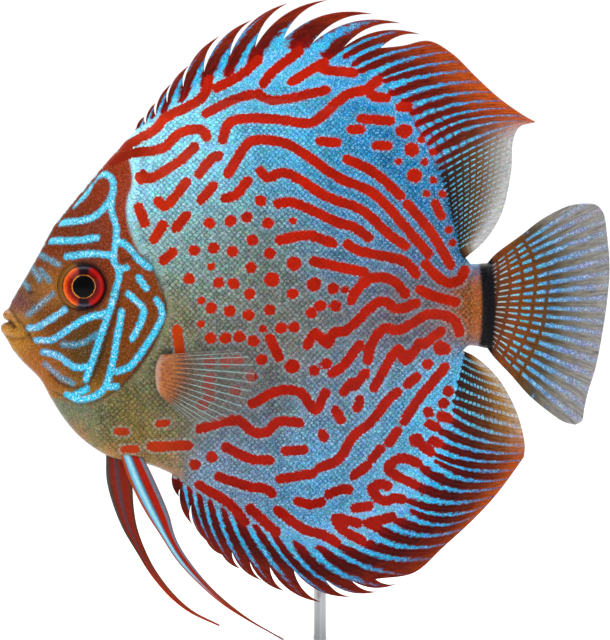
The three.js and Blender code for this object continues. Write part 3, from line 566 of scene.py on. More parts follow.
def nearest_on(points, line):
    """Distance from each point to a line, and the place on it"""
    best = np.full(len(points), np.inf)
    place = np.zeros((len(points), 2))
    for a, b in zip(line, line[1:]):
        d = b - a
        share = np.clip(((points - a) @ d) / max(d @ d, 1e-12), 0, 1)
        at = a + share[:, None] * d
        gap = ((points - at) ** 2).sum(1)
        closer = gap < best
        best[closer] = gap[closer]
        place[closer] = at[closer]
    return np.sqrt(best), place


def inside(points, outline):
    odd = np.zeros(len(points), bool)
    x, y = points.T
    for (x0, y0), (x1, y1) in zip(outline, np.roll(outline, -1, axis=0)):
        if y0 != y1:
            odd ^= ((y0 > y) != (y1 > y)) & (x < (x1 - x0) * (y - y0) / (y1 - y0) + x0)
    return odd


def world(points, side):
    """From places in the side view to metres in the part's frame"""
    x = (points[:, 0] - TOTAL_LENGTH / 2) / 1000
    return np.stack([x, side / 1000, (points[:, 1] + LIFT) / 1000], 1)


BACK_RIM = smooth_line(BACK)
BELLY_RIM = smooth_line(BELLY)
ROUNDED_EDGE = np.vstack([BELLY_RIM, MOUTH_CORNER, BACK_RIM])
BODY_OUTLINE = np.vstack([ROUNDED_EDGE, BELLY_RIM[:1]])
THICKNESS_LINE = smooth_line(HALF_THICKNESS)
DEPTH_LINE = smooth_line(ROUNDING_DEPTH)
HEAD_OUTLINE = smooth_line(HEAD_EDGE)
RIM_TURNS = np.arctan2(*(BODY_OUTLINE - BODY_CENTRE).T[::-1])


def rim_share(points):
    """How much the rim beyond each point is the base of a fin"""
    turn = np.arctan2(*(points - BODY_CENTRE).T[::-1])
    a = np.interp(turn, RIM_TURNS, BODY_OUTLINE[:, 0], period=2 * math.pi)
    start = np.where(turn > 0, DORSAL_START, ANAL_START)
    front = np.clip((a - start + 2) / 10, 0, 1)
    return front * front * (3 - 2 * front) * (1 - step(FIN_END_AT - 4, FIN_END_AT + 1.5, a))


def body_half(points):
    """Half the body's thickness, rounded in at its edge as in the solids"""
    share = rim_share(points)
    rim = SOFT_RIM_HALF + (FIN_BASE_HALF - SOFT_RIM_HALF) * share
    full = np.interp(points[:, 0], *THICKNESS_LINE.T)
    depth = np.interp(points[:, 0], *DEPTH_LINE.T)
    inward = np.minimum(1, nearest_on(points, ROUNDED_EDGE)[0] / depth)
    rise = np.maximum(inward * (2 - inward), 0) ** (0.52 + 0.36 * share)
    return rim + np.maximum(0, full - rim) * rise


def from_eye(points):
    return np.hypot(*(points - EYE_AT).T)


def head_depth(points):
    """How far inside the head each point is, below zero outside it"""
    away = nearest_on(points, HEAD_OUTLINE)[0]
    return np.where(inside(points, HEAD_OUTLINE), away, -away)


def ridge(points, line, width):
    """1 along a line, fading to 0 beside it"""
    return np.exp(-((nearest_on(points, smooth_line(line, 5))[0] / width) ** 2))


def head_relief(points):
    """Folds of the head: lips, gape, nostril, cheek groove, the raised gill cover and the eye's socket"""
    relief = 0.8 * ridge(points, UPPER_LIP, 0.9) + 0.8 * ridge(points, LOWER_LIP, 0.9)
    relief -= 1.6 * ridge(points, MOUTH_GAPE, 0.4)
    relief -= 0.6 * ridge(points, LIP_REAR, 0.4) + 0.5 * ridge(points, CHIN_FOLD, 0.4)
    relief -= 0.7 * ridge(points, CHEEK_GROOVE, 0.6)
    edge = smooth_line(GILL_EDGE, 5)
    away = nearest_on(points, edge)[0]
    front = inside(points, np.vstack([edge, smooth_line(CHEEK_GROOVE, 5)[::-1]]))
    relief += np.where(front, 0.8 * np.exp(-away / 4) * step(-0.2, 0.5, away), -0.5 * np.exp(-away / 0.6))
    nostril = np.hypot(*(points - NOSTRIL).T)
    relief += 0.12 * np.exp(-((nostril - 1) / 0.35) ** 2) - 0.5 * np.exp(-((nostril / 0.5) ** 2))
    return relief + 0.4 * np.exp(-(((from_eye(points) - SOCKET_RADIUS - 0.5) / 0.6) ** 2))


def skin_half(points):
    """Half the thickness of the whole fish at each place: body, then fins that thin out from its rim"""
    body = inside(points, BODY_OUTLINE)
    away, rim_place = nearest_on(points, BODY_OUTLINE)
    half = body_half(np.where(body[:, None], points, rim_place))
    half = np.where(body, half, FIN_EDGE_HALF + (half - FIN_EDGE_HALF) * np.exp(-away / FIN_ROOT_FADE))
    head = points[:, 0] < 46
    half[head] += np.where(body[head], head_relief(points[head]), 0)
    eye = from_eye(points)
    ball = EYE_CENTRE_SIDE + EYE_HALF_DEPTH * np.sqrt(np.maximum(0, 1 - (eye / EYE_RADIUS) ** 2))
    sunk = step(SOCKET_RADIUS, SOCKET_RADIUS - 0.5, eye)
    half = half * (1 - sunk) + np.minimum(half, ball - 0.8) * sunk
    return np.maximum(half - COAT_DEPTH * scaled_share(points, body, away), 0.12), body, away


def scaled_share(points, body, away):
    """1 where scales cover the skin, 0 on the head, the tail and the outer fins"""
    on = np.where(body, 1.0, step(4, 1, away) * (points[:, 0] > 48) * (points[:, 0] < 112))
    on *= step(117.5, 116, points[:, 0]) * step(0, 1, -head_depth(points))
    throat = (points[:, 1] < 60) & (points[:, 0] < 24)
    return np.where(throat, 0, on)


def place_colour(points, table):
    """A soft blend of the colours placed nearby"""
    total = np.zeros((len(points), 3))
    weight = np.zeros(len(points))
    for at, spread, colour in table:
        pull = np.exp(-((points - at) ** 2).sum(1) / (2 * spread**2)) + 1e-6
        total += pull[:, None] * linear(colour)
        weight += pull
    return total / weight[:, None]


def stop_colour(value, stops):
    colours = np.array([linear(colour) for _, colour in stops])
    places = [at for at, _ in stops]
    return np.stack([np.interp(value, places, colours[:, k]) for k in range(3)], 1)


def blend(a, b, share):
    return a + (b - a) * share[:, None]


def mark_distance(points, lines, half, best=None):
    """Signed distance to the nearest of many marks, below zero inside one"""
    best = np.full(len(points), FAR) if best is None else best
    for line in lines:
        line = smooth_line(line, 3) if len(line) > 2 else np.asarray(line, float)
        low = line.min(0) - FAR - half
        high = line.max(0) + FAR + half
        near = np.flatnonzero(((points > low) & (points < high)).all(1))
        if len(near):
            gap = nearest_on(points[near], line)[0] - half
            best[near] = np.minimum(best[near], gap)
    return best


def red_distance(points):
    best = mark_distance(points, NAPE_STRIPES, STRIPE_HALF)
    for lines in (BACK_STRIPES, FLANK_STRIPES, BELLY_STRIPES):
        mark_distance(points, lines, STRIPE_HALF, best)
    mark_distance(points, DORSAL_STRIPES, DORSAL_STRIPE_HALF, best)
    mark_distance(points, CHEST_MARKS, CHEST_MARK_HALF, best)
    for spots, radius in SPOTS:
        mark_distance(points, [(spot, (spot[0] + 0.1, spot[1])) for spot in spots], radius, best)
    return best


def ray_table(rays):
    """Places sampled along the rays of a fin, with the ray's number and how far along it each lies"""
    dense = smooth_line(rays, 14)
    reach = np.linspace(0, 1, 40)[None, :, None]
    root, bend, tip = (dense[:, None, k:k + 2] for k in (1, 3, 5))
    places = curve(root, bend, tip, reach)
    return places, dense[:, 0], plot(places.reshape(-1, 2))


def ray_place(points, table):
    """The ray number and the share of its length for each point"""
    places, numbers, tree = table
    rows, steps = places.shape[:2]
    found = np.array([tree.find((a, up, 0))[1] for a, up in points])
    i = np.clip(found // steps, 1, rows - 2)
    j = np.clip(found % steps, 1, steps - 2)
    across = (places[i + 1, j] - places[i - 1, j]) / 2
    along = (places[i, j + 1] - places[i, j - 1]) / 2
    gap = points - places[i, j]
    turn = across[:, 0] * along[:, 1] - across[:, 1] * along[:, 0]
    turn = np.where(np.abs(turn) < 1e-9, 1e-9, turn)
    di = np.clip((gap[:, 0] * along[:, 1] - gap[:, 1] * along[:, 0]) / turn, -2, 2)
    dj = np.clip((across[:, 0] * gap[:, 1] - across[:, 1] * gap[:, 0]) / turn, -2, 2)
    number = numbers[i] + di * (numbers[i + 1] - numbers[i - 1]) / 2
    return number, np.clip((j + dj) / (steps - 1), 0, 1)


def fields(points, flank, body, away):
    """Everything that the materials read at a place: marks, rays and the colours under them"""
    right = flank > 0
    a, up = points.T
    drift = right * 0.9 * step(2, 8, away) * body
    moved = points + np.stack([drift * np.sin(up * 0.17 + 1), drift * np.sin(a * 0.15)], 1)
    on_head = step(-0.5, 0.5, head_depth(points)) * body
    light = blend(place_colour(points, BODY_COLOURS), place_colour(points, HEAD_COLOURS), on_head)
    found = {
        "red": red_distance(moved),
        "line": mark_distance(moved, HEAD_LINES, LINE_HALF) + 2 * body * step(1.1, 0.3, away),
        "faint": mark_distance(moved, FAINT_HEAD_LINES, FAINT_LINE_HALF),
        "ray": np.zeros(len(points)),
        "bead": np.zeros(len(points)),
        "share": np.full(len(points), 1.4),
        "dash": np.zeros(len(points)),
        "fin": np.zeros(len(points)),
        "head": on_head,
    }
    dark = light.copy()
    beyond = a - TAIL_BASE_AT
    spread = np.abs(up - TAIL_MIDDLE) - 40 * beyond / 30
    over = (up > 95) & (a < 134.8) & ~((beyond > 0) & (up < 99))
    under = (up < 73) & (a < 132) & ((a < 122) | (up < 69))
    fins = (
        (DORSAL_RAYS, over, DORSAL_FIN, REAR_DORSAL, 20, 26, 11),
        (ANAL_RAYS, under, ANAL_FIN, REAR_ANAL, 20, 27, 16),
    )
    for rays, where, front_fin, rear_fin, soft_from, soft_to, beads in fins:
        sel = np.flatnonzero(where & ~body & ~((beyond > 0) & (spread < 10)))
        if not len(sel):
            continue
        number, reach = ray_place(points[sel], ray_table(rays))
        soft = step(soft_from, soft_to, number)
        rise = step(-0.02, 0.07, reach)
        full = 0.46 - 0.1 * step(0, 0.3, reach) - 0.18 * reach
        full -= 0.2 * step(0.62, 0.95, reach) * step(16, 10, number)
        thin = 0.26 + 0.04 * reach
        found["ray"][sel] = number
        found["bead"][sel] = reach * beads
        found["share"][sel] = 1.4 + (full * (1 - soft) + thin * soft - 1.4) * rise
        upper = step(16, 20, number) * step(0.6, 0.3, reach) * (up[sel] > 85)
        found["dash"][sel] = np.maximum(soft, 0.8 * upper) * rise
        found["fin"][sel] = 1
        dark[sel] = blend(stop_colour(reach, front_fin), stop_colour(reach, rear_fin), soft)
        deep = 0.85 * step(17, 9, number) * step(0.35, 0.8, reach)
        dark[sel] = blend(dark[sel], np.tile(linear(SPINE_TIP), (len(sel), 1)), deep)
        streak = blend(stop_colour(reach, FRONT_STREAK), stop_colour(reach, REAR_STREAK), soft)
        light[sel] = blend(light[sel], streak, step(0, 0.25, reach))
    sel = np.flatnonzero(~body & (a > BLACK_BAR_AT) & (spread < 12))
    if len(sel):
        number, reach = ray_place(points[sel], ray_table(TAIL_RAYS))
        found["ray"][sel] = number
        found["bead"][sel] = reach * 9
        found["share"][sel] = 0.2 + 0.2 * step(0.02, 0.45, reach)
        found["dash"][sel] = step(0.53, 0.47, reach)
        found["fin"][sel] = 1
        dark[sel] = stop_colour(reach, TAIL_FIN)
        light[sel] = stop_colour(reach, TAIL_STREAK)
    middle = BLACK_BAR_AT + 0.7 * (1 - ((up - TAIL_MIDDLE) / 11) ** 2)
    bar = step(BLACK_BAR_HALF, BLACK_BAR_HALF - 0.6, np.abs(a - middle)) * (np.abs(up - 83.6) < 13)
    # Painted shade: the colour is darkened towards black round the rim of the eye's socket, in the cheek
    # groove, mouth gape, lip and chin folds and nostril, behind the gill cover's edge and under the pectoral
    # fin's root
    socket = np.exp(-(((from_eye(points) - SOCKET_RADIUS) / 0.55) ** 2))
    crease_shade = 0.6 * ridge(points, CHEEK_GROOVE, 0.35) + 0.8 * ridge(points, MOUTH_GAPE, 0.35)
    crease_shade += 0.55 * ridge(points, LIP_REAR, 0.3) + 0.4 * ridge(points, CHIN_FOLD, 0.4)
    crease_shade += 0.55 * ridge(points, GILL_EDGE, 0.3)
    crease_shade += 0.9 * np.exp(-((np.hypot(*(points - NOSTRIL).T) / 0.5) ** 2))
    crease_shade += 0.6 * ridge(points, PECTORAL_SHADOW, 0.8)
    shade = np.maximum(socket * 0.45, np.clip(crease_shade, 0, 0.9))
    black = np.tile(linear(BLACK_BAR), (len(points), 1))
    # Both colours take the painted shade, then the black bar's own pigment
    for colours in (light, dark):
        colours[:] = blend(blend(colours, black * 1.5, shade), black, bar)
    bars = sum(np.exp(-(((a - at + 0.06 * (up - 85)) / 2.2) ** 2)) for at in FAINT_BARS)
    light *= 1 - 0.2 * (bars * body * (1 - on_head) * step(150, 110, up) * (1 - bar))[:, None]
    blueness = light[:, 2] - light[:, 0]
    found["light"] = light
    found["dark"] = dark
    found["mark"] = place_colour(points, RED_COLOURS)
    found["glow"] = place_colour(points, LINE_COLOURS)
    # shine: how strongly the painted glints show, full on blue skin, faint on brown skin and on the black
    # bar
    found["shine"] = (0.12 + 0.88 * step(0, 0.3, blueness)) * (1 - 0.7 * bar)
    return found


def bow(start, tip, bend):
    """A bent line from the fin out to a free tip"""
    start, tip = np.array(start, float), np.array(tip, float)
    across = (tip - start)[::-1] * (-bend, bend)
    return curve(start, (start + tip) / 2 + across, tip, np.linspace(0, 1, 24)[:, None])


def lobe_edge(start, tips, notches, bend):
    rows = []
    for tip, notch in zip(tips, notches):
        rows += [bow(start, tip, bend), bow(notch, tip, bend)[::-1]]
        start = notch
    return rows


def silhouette():
    """The outline of the whole fish in the side view, fins and all, running against the clock"""
    over = [BACK_RIM[BACK_RIM[:, 0] <= DORSAL_START]]
    over += lobe_edge(DORSAL_ROOT, DORSAL_TIPS, DORSAL_NOTCHES, LOBE_BEND)
    over += [smooth_line(SOFT_DORSAL_FRONT), smooth_line(SOFT_DORSAL_REAR)]
    over += [BACK_RIM[BACK_RIM[:, 0] > SOFT_DORSAL_REAR[-1][0] + 0.8]]
    under = [BELLY_RIM[BELLY_RIM[:, 0] > SOFT_ANAL_REAR[-1][0] + 0.8]]
    under += [smooth_line(SOFT_ANAL_REAR)[::-1], smooth_line(SOFT_ANAL_FRONT)[::-1]]
    anal = lobe_edge(ANAL_ROOT, ANAL_TIPS, ANAL_NOTCHES, -LOBE_BEND)
    under += [row[::-1] for row in anal[::-1]]
    belly = BELLY_RIM[(BELLY_RIM[:, 0] <= ANAL_START)]
    under += [belly, np.array([belly[-1], MOUTH_CORNER, BACK[0]])]
    tail = [smooth_line(edge) for edge in (TAIL_TOP, TAIL_REAR, TAIL_BOTTOM)]
    line = np.vstack([spaced(row, EDGE_PITCH) for row in over + tail + under if len(row) > 1])
    apart = np.hypot(*(line - np.roll(line, 1, axis=0)).T) > 0.05
    return line[apart][::-1]


def lattice(pitch, low, high):
    """Evenly spread points, each row shifted by half a step"""
    a = np.arange(low[0], high[0], pitch)
    up = np.arange(low[1], high[1], pitch * 0.866)
    grid_a, grid_up = np.meshgrid(a, up)
    grid_a = grid_a + pitch / 2 * (np.arange(len(up))[:, None] % 2)
    return np.stack([grid_a.ravel(), grid_up.ravel()], 1)


def side_sheet():
    """Points and triangles that fill the outline, finer on the head"""
    outline = silhouette()
    coarse = lattice(BODY_PITCH, (0, 0), (TOTAL_LENGTH + 1, 161))
    fine = lattice(HEAD_PITCH, (0, 42), (44, 130))
    points = np.vstack([coarse[(coarse[:, 0] > 44) | (coarse[:, 1] > 130)], fine])
    points = points[inside(points, outline)]
    tree = plot(outline)
    room = np.array([tree.find((a, up, 0))[2] for a, up in points])
    points = points[room > 0.4 * BODY_PITCH]
    every = np.vstack([outline, points])
    count = len(outline)
    edges = [(i, (i + 1) % count) for i in range(count)]
    found = delaunay_2d_cdt([Vector(point) for point in every], edges, [], 1, 1e-5)
    places = np.array([tuple(point) for point in found[0]])
    triangles = np.array(found[2])
    a, b, c = (places[triangles[:, k]] for k in range(3))
    area = (b - a)[:, 0] * (c - a)[:, 1] - (b - a)[:, 1] * (c - a)[:, 0]
    triangles[area < 0] = triangles[area < 0][:, ::-1]
    return places, triangles


def unwrap(points, half):
    """Where a place of one flank lies when the flank is rolled out flat from its highest point"""
    apex = np.interp(BODY_CENTRE[0], *THICKNESS_LINE.T)
    out = points - BODY_CENTRE
    flat = np.hypot(*out.T)
    rolled = np.hypot(flat, apex - half)
    out = out * (rolled / np.maximum(flat, 1e-6))[:, None]
    return (out + (70, 90)) / 170


def make_piece(name, verts, faces, corner_uv, found, material):
    """A mesh object with its marks, colours and unwrap stored on it"""
    mesh = bpy.data.meshes.new(name)
    mesh.from_pydata(verts.tolist(), [], faces)
    for key, values in found.items():
        kind = "FLOAT" if values.ndim == 1 else "FLOAT_COLOR"
        store = mesh.attributes.new(key, kind, "POINT")
        if values.ndim == 2:
            values = np.hstack([values, np.ones((len(values), 1))])
        store.data.foreach_set("value" if kind == "FLOAT" else "color", values.astype(np.float32).ravel())
    layer = mesh.uv_layers.new(name="OFBake")
    layer.data.foreach_set("uv", corner_uv.astype(np.float32).ravel())
    mesh.shade_smooth()
    mesh.materials.append(material)
    piece = bpy.data.objects.new(name, mesh)
    bpy.context.scene.collection.objects.link(piece)
    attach(piece, "root")
    return piece


def slab(rows, flank):
    """A thin closed blade from rows of (place, side, half thickness): corners and quads"""
    rows = np.asarray(rows)
    height, width = rows.shape[:2]
    flat = rows.reshape(-1, 4)
    verts = np.vstack([world(flat[:, :2], flank * flat[:, 2] + s * flat[:, 3]) for s in (-1, 1)])
    at = np.arange(height * width).reshape(height, width)
    near = np.stack([at[:-1, :-1], at[:-1, 1:], at[1:, 1:], at[1:, :-1]], -1).reshape(-1, 4)
    rim = np.concatenate([at[0, :-1], at[:-1, -1], at[-1, :0:-1], at[:0:-1, 0]])
    after = np.roll(rim, -1)
    count = height * width
    wall = np.stack([rim, after, after + count, rim + count], 1)
    quads = np.vstack([near[:, ::-1], near + count, wall])
    a, b, c = (verts[quads[0][k]] for k in range(3))
    if np.cross(b - a, c - b)[1] > 0:
        quads = quads[:, ::-1]
    return verts, quads, len(near)


def pelvic_fin(front, rear, flank, stops):
    """A long narrow fin under the throat, drawn out into a thread"""
    lead = spaced(smooth_line(front), 1.0)
    steps = len(lead)
    pick = np.linspace(0, 1, steps)
    trail = smooth_line(rear, 20)
    lengths = np.concatenate([[0], np.cumsum(np.hypot(*np.diff(trail, axis=0).T))])
    trail = np.stack([np.interp(pick * lengths[-1], lengths, trail[:, k]) for k in (0, 1)], 1)
    side = np.interp(pick, (0, 0.33, 0.67, 1), PELVIC_SIDE)
    across = np.linspace(0, 1, PELVIC_COLUMNS)
    rows = np.zeros((steps, PELVIC_COLUMNS, 4))
    rows[:, :, :2] = lead[:, None] + (trail - lead)[:, None] * across[None, :, None]
    rows[:, :, 2] = side[:, None] + 0.5 * across[None]
    crown = np.sqrt(1 - (2 * across - 1) ** 2) * 0.75 + 0.25
    rows[:, :, 3] = (0.6 - 0.42 * pick[:, None] ** 0.5) * crown[None]
    verts, quads, faces = slab(rows, flank)
    share = np.tile(across, steps)
    reach = np.repeat(pick, PELVIC_COLUMNS)
    root = stop_colour(share, stops)
    thread = stop_colour(share, PELVIC_THREAD)
    colours = blend(root, thread, step(0.45, 0.75, reach))
    places = rows.reshape(-1, 4)[:, :2]
    uv = unwrap(places, np.full(len(places), 9.0))
    return verts, quads, faces, np.tile(colours, (2, 1)), uv, np.tile(share * 5, 2)


def half_flank(uv, flank):
    return np.stack([uv[:, 0] / 2 + (0.5 if flank > 0 else 0), uv[:, 1]], 1)


def build_skin(settings):
    """One skin over the head, jaws, gill covers, trunk, tail stalk, upright fins and pelvic fins"""
    places, triangles = side_sheet()
    half, body, away = skin_half(places)
    directed = np.vstack([triangles[:, [0, 1]], triangles[:, [1, 2]], triangles[:, [2, 0]]])
    _, first, seen = np.unique(np.sort(directed, axis=1), axis=0, return_index=True, return_counts=True)
    rim = directed[first[seen == 1]]
    on_rim = np.zeros(len(places), bool)
    on_rim[rim.ravel()] = True
    half = np.where(on_rim, half * 0.55, half)
    count = len(places)
    verts = np.vstack([world(places, -half), world(places, half)])
    walls = np.stack([rim[:, 0], rim[:, 0] + count, rim[:, 1] + count, rim[:, 1]], 1)
    uv = unwrap(places, half)
    corner_uv = [half_flank(uv, -1)[triangles.ravel()], half_flank(uv, 1)[triangles[:, ::-1].ravel()]]
    corner_uv.append(half_flank(uv, -1)[rim[:, [0, 0, 1, 1]].ravel()])
    faces = triangles.tolist() + (triangles[:, ::-1] + count).tolist() + walls.tolist()
    sides = [fields(places, flank, body, away) for flank in (-1, 1)]
    found = {key: np.concatenate([side[key] for side in sides]) for key in sides[0]}
    for front, rear, flank, stops in (
        (NEAR_PELVIC_FRONT, NEAR_PELVIC_REAR, -1, NEAR_PELVIC_COLOURS),
        (FAR_PELVIC_FRONT, FAR_PELVIC_REAR, 1, FAR_PELVIC_COLOURS),
    ):
        fin_verts, quads, near, colours, fin_uv, rays = pelvic_fin(front, rear, flank, stops)
        fin_uv = half_flank(fin_uv, flank)
        inner = fin_uv - (0.08, 0)
        both = np.vstack([fin_uv, inner] if flank < 0 else [inner, fin_uv])
        wall_uv = both[quads[2 * near:][:, [0, 1, 1, 0]] % len(fin_uv)]
        corner_uv += [both[quads[:2 * near].ravel()], wall_uv.reshape(-1, 2)]
        faces += (quads + len(verts)).tolist()
        verts = np.vstack([verts, fin_verts])
        size = len(fin_verts)
        plain = {"red": FAR, "line": FAR, "faint": FAR, "share": -1, "fin": 0.5, "shine": 1}
        for key, values in found.items():
            if key in ("dark", "light", "mark", "glow"):
                extra = colours
            elif key == "ray":
                extra = rays
            else:
                extra = np.full(size, float(plain.get(key, 0)))
            found[key] = np.concatenate([values, extra])
    material = fish_skin("wet fish skin", settings)
    skin = make_piece("skin", verts, faces, np.vstack(corner_uv), found, material)
    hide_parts(*FLESH_NODES)


def build_scales(settings, flank):
    """The thin overlapping scales of one flank, in staggered rows that lie back towards the tail"""
    pitch = settings.scale_pitch * 1000
    low, high = np.array((22.0, 28.0)), np.array((122.0, 142.0))
    a = np.arange(low[0], high[0], pitch)
    rows = np.arange(low[1], high[1], pitch * SCALE_ROW)
    shift = pitch / 2 * (np.arange(len(rows)) % 2)
    roots = np.stack([(a[None] + shift[:, None]).ravel(), np.repeat(rows, len(a))], 1)
    random = np.random.default_rng(SEED + (flank > 0))
    roots = roots + random.uniform(-0.12, 0.12, roots.shape) * pitch
    grid, half_at, away_at = half_table(low - 3, high + 3)
    body = inside(roots, BODY_OUTLINE)
    away = np.abs(grid(away_at, roots))
    keep = scaled_share(roots, body, away) > 0.5
    bare_rim = (away < 1.6) & (((roots[:, 0] < 45) & (roots[:, 1] < 85)) | (roots[:, 0] < 34))
    roots = roots[keep & (from_eye(roots) > 9) & ~bare_rim]
    count = len(roots)
    a, up = roots.T
    slope = (up - 85) / 50 * (0.35 - 0.75 * step(60, 115, a))
    lie = np.stack([np.ones(count), slope], 1)
    lie /= np.hypot(*lie.T)[:, None]
    across = lie[:, ::-1] * (-1, 1)
    s = np.tile(np.linspace(-1, 1, 5), 4)
    t = np.repeat(np.array((0, 0.4, 0.78, 1)), 5)
    size = pitch * (1 - 0.25 * step(10, 2, np.abs(grid(away_at, roots))))
    forward = (t * (1 - 0.32 * s * s) * 1.62 - 0.3)[None] * size[:, None]
    sideways = (s * (0.78 + 0.22 * np.sin(math.pi * t)) * 0.56)[None] * size[:, None]
    places = roots[:, None] + forward[..., None] * lie[:, None] + sideways[..., None] * across[:, None]
    flat = places.reshape(-1, 2)
    lift = -0.1 + 0.24 * t - 0.05 * s * s
    tilt = random.uniform(-0.05, 0.05, count)[:, None] * s[None]
    tilt = tilt + random.uniform(-0.03, 0.04, count)[:, None] * t
    height = grid(half_at, flat) + (lift[None] + tilt).ravel()
    verts = world(flat, flank * height)
    at = np.arange(20).reshape(4, 5)
    quad = np.stack([at[:-1, :-1], at[1:, :-1], at[1:, 1:], at[:-1, 1:]], -1).reshape(-1, 4)
    if flank < 0:
        quad = quad[:, ::-1]
    quads = (quad[None] + 20 * np.arange(count)[:, None, None]).reshape(-1, 4)
    normal = np.cross(verts[quads[0][1]] - verts[quads[0][0]], verts[quads[0][2]] - verts[quads[0][1]])
    if normal[1] * flank < 0:
        quads = quads[:, ::-1]
    body = inside(flat, BODY_OUTLINE)
    found = fields(flat, flank, body, np.abs(grid(away_at, flat)))
    # Each scale's own brightness: partly its own tone, partly painted sparkle
    found["scale_tone_and_glitter"] = np.repeat(random.uniform(0, 1, count), 20)
    found["rim"] = np.tile(np.maximum(t**2, np.abs(s) ** 3 * (t > 0)), count)
    patch = np.stack([s, 2 * t - 1], 1) * 0.0015
    uv = (unwrap(roots, grid(half_at, roots))[:, None] + patch[None]).reshape(-1, 2)
    name = "left_scales" if flank < 0 else "right_scales"
    material = fish_skin(f"scaled fish skin, {name[:-7]} flank", settings, scaled=True)
    return make_piece(name, verts, quads.tolist(), uv[quads.ravel()], found, material)


def half_table(low, high, pitch=0.7):
    """The skin's half thickness and depth inside the rim on an even net, read between its points"""
    a = np.arange(low[0], high[0] + pitch, pitch)
    up = np.arange(low[1], high[1] + pitch, pitch)
    net = np.stack(np.meshgrid(a, up, indexing="ij"), -1)
    half, body, away = skin_half(net.reshape(-1, 2))
    shape = net.shape[:2]

    def read(table, points):
        at = (points - low) / pitch
        i = np.clip(at.astype(int), 0, np.array(shape) - 2)
        f = at - i
        x, y = i.T
        top = table[x, y] * (1 - f[:, 0]) + table[x + 1, y] * f[:, 0]
        bottom = table[x, y + 1] * (1 - f[:, 0]) + table[x + 1, y + 1] * f[:, 0]
        return top * (1 - f[:, 1]) + bottom * f[:, 1]

    return read, half.reshape(shape), np.where(body, away, -away).reshape(shape)


def build_eye(flank, material):
    """An eyeball turned about its axis, with a raised pupil and a shallow groove round the iris"""
    turns, rows = 72, 44
    angle = np.linspace(0, math.pi, rows)
    radius = EYE_RADIUS * np.sin(angle)
    depth = EYE_HALF_DEPTH * np.cos(angle)
    front = angle < math.pi / 2
    pupil = 0.22 * np.exp(-((radius / 2.9) ** 4))
    groove = 0.12 * np.exp(-(((radius - 5.3) / 0.3) ** 2))
    depth += np.where(front, pupil - groove, 0)
    turn = np.arange(turns) / turns * 2 * math.pi
    a = EYE_AT[0] + radius[:, None] * np.cos(turn)
    up = EYE_AT[1] + radius[:, None] * np.sin(turn)
    side = np.repeat(flank * (EYE_CENTRE_SIDE + depth), turns)
    flat = np.stack([a.ravel(), up.ravel()], 1)
    verts = world(flat, side)
    at = np.arange(rows * turns).reshape(rows, turns)
    after = np.roll(at, -1, axis=1)
    quads = np.stack([at[:-1], at[1:], after[1:], after[:-1]], -1).reshape(-1, 4)
    if flank > 0:
        quads = quads[:, ::-1]
    found = {
        "ring": np.where(np.repeat(front, turns), np.repeat(radius, turns), EYE_RADIUS),
        "turn": np.tile(np.cos(turn), rows),
    }
    spread = (np.repeat(angle, turns) / math.pi * 0.48)[:, None]
    uv = 0.5 + spread * np.tile(np.stack([np.cos(turn), np.sin(turn)], 1), (rows, 1))
    name = "left_eye" if flank < 0 else "right_eye"
    piece = make_piece(name, verts, quads.tolist(), uv[quads.ravel()], found, material)
    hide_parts("eye_left" if flank < 0 else "eye_right")


def build_pectoral(flank, material):
    """A half-clear fan of rays on a fleshy root behind the gill cover"""
    columns, rows = 49, 40
    root = spaced(smooth_line(PECTORAL_ROOT), 0.1)
    edge = spaced(smooth_line(PECTORAL_EDGE), 0.1)
    pick = np.linspace(0, 1, columns)
    root, edge = (np.stack([np.interp(pick, np.linspace(0, 1, len(line)), line[:, k]) for k in (0, 1)], 1)
                  for line in (root, edge))
    start = body_half(np.array([PECTORAL_ROOT[2]]))[0] + 0.1
    reach = np.linspace(0, 1, rows)
    ripple = 0.07 * np.cos(pick * math.pi * 2 * PECTORAL_RAYS)
    table = np.zeros((rows, columns, 4))
    table[:, :, :2] = root[None] + (edge - root)[None] * reach[:, None, None]
    table[:, :, 2] = start + 5.8 * reach[:, None] ** 0.85 + 0.25 * np.sin(pick * 5)[None] * reach[:, None]
    flesh = step(0.42, 0.02, reach)
    crown = np.sqrt(np.maximum(0.03, 1 - (2 * pick - 1) ** 2))
    table[:, :, 3] = 0.13 + 1.15 * flesh[:, None] * crown[None]
    table[:, :, 3] += ripple[None] * 0.5 * step(0, 0.3, reach)[:, None]
    verts, quads, near = slab(table, flank)
    fade = np.repeat(reach, columns)
    share = np.tile(pick, rows)
    found = {"reach": np.tile(fade, 2), "ray": np.tile(share * PECTORAL_RAYS, 2)}
    uv = np.stack([0.04 + 0.42 * share, 0.05 + 0.9 * fade], 1)
    both = np.vstack([uv, uv + (0.5, 0)])
    wall_uv = both[quads[2 * near:][:, [0, 1, 1, 0]] % len(uv)].reshape(-1, 2)
    corner_uv = np.vstack([both[quads[:2 * near].ravel()], wall_uv])
    name = "left_pectoral_fin" if flank < 0 else "right_pectoral_fin"
    piece = make_piece(name, verts, quads.tolist(), corner_uv, found, material)
    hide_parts("pectoral_fin_left" if flank < 0 else "pectoral_fin_right")


def rgba(colour):
    return (*linear(colour), 1)


def add(tree, kind, options=None, sockets=None):
    """Adds a shader node, sets its options, and fills its sockets with values or with other outputs"""
    node = tree.nodes.new("ShaderNode" + kind)
    for key, value in (options or {}).items():
        setattr(node, key, value)
    for key, value in (sockets or {}).items():
        if isinstance(value, bpy.types.NodeSocket):
            tree.links.new(value, node.inputs[key])
        else:
            node.inputs[key].default_value = value
    return node.outputs


def new_material(name):
    material = bpy.data.materials.new(name)
    material.use_nodes = True
    material.node_tree.nodes.clear()
    return material, material.node_tree


def finish_material(tree, surface):
    add(tree, "OutputMaterial", None, {"Surface": surface})


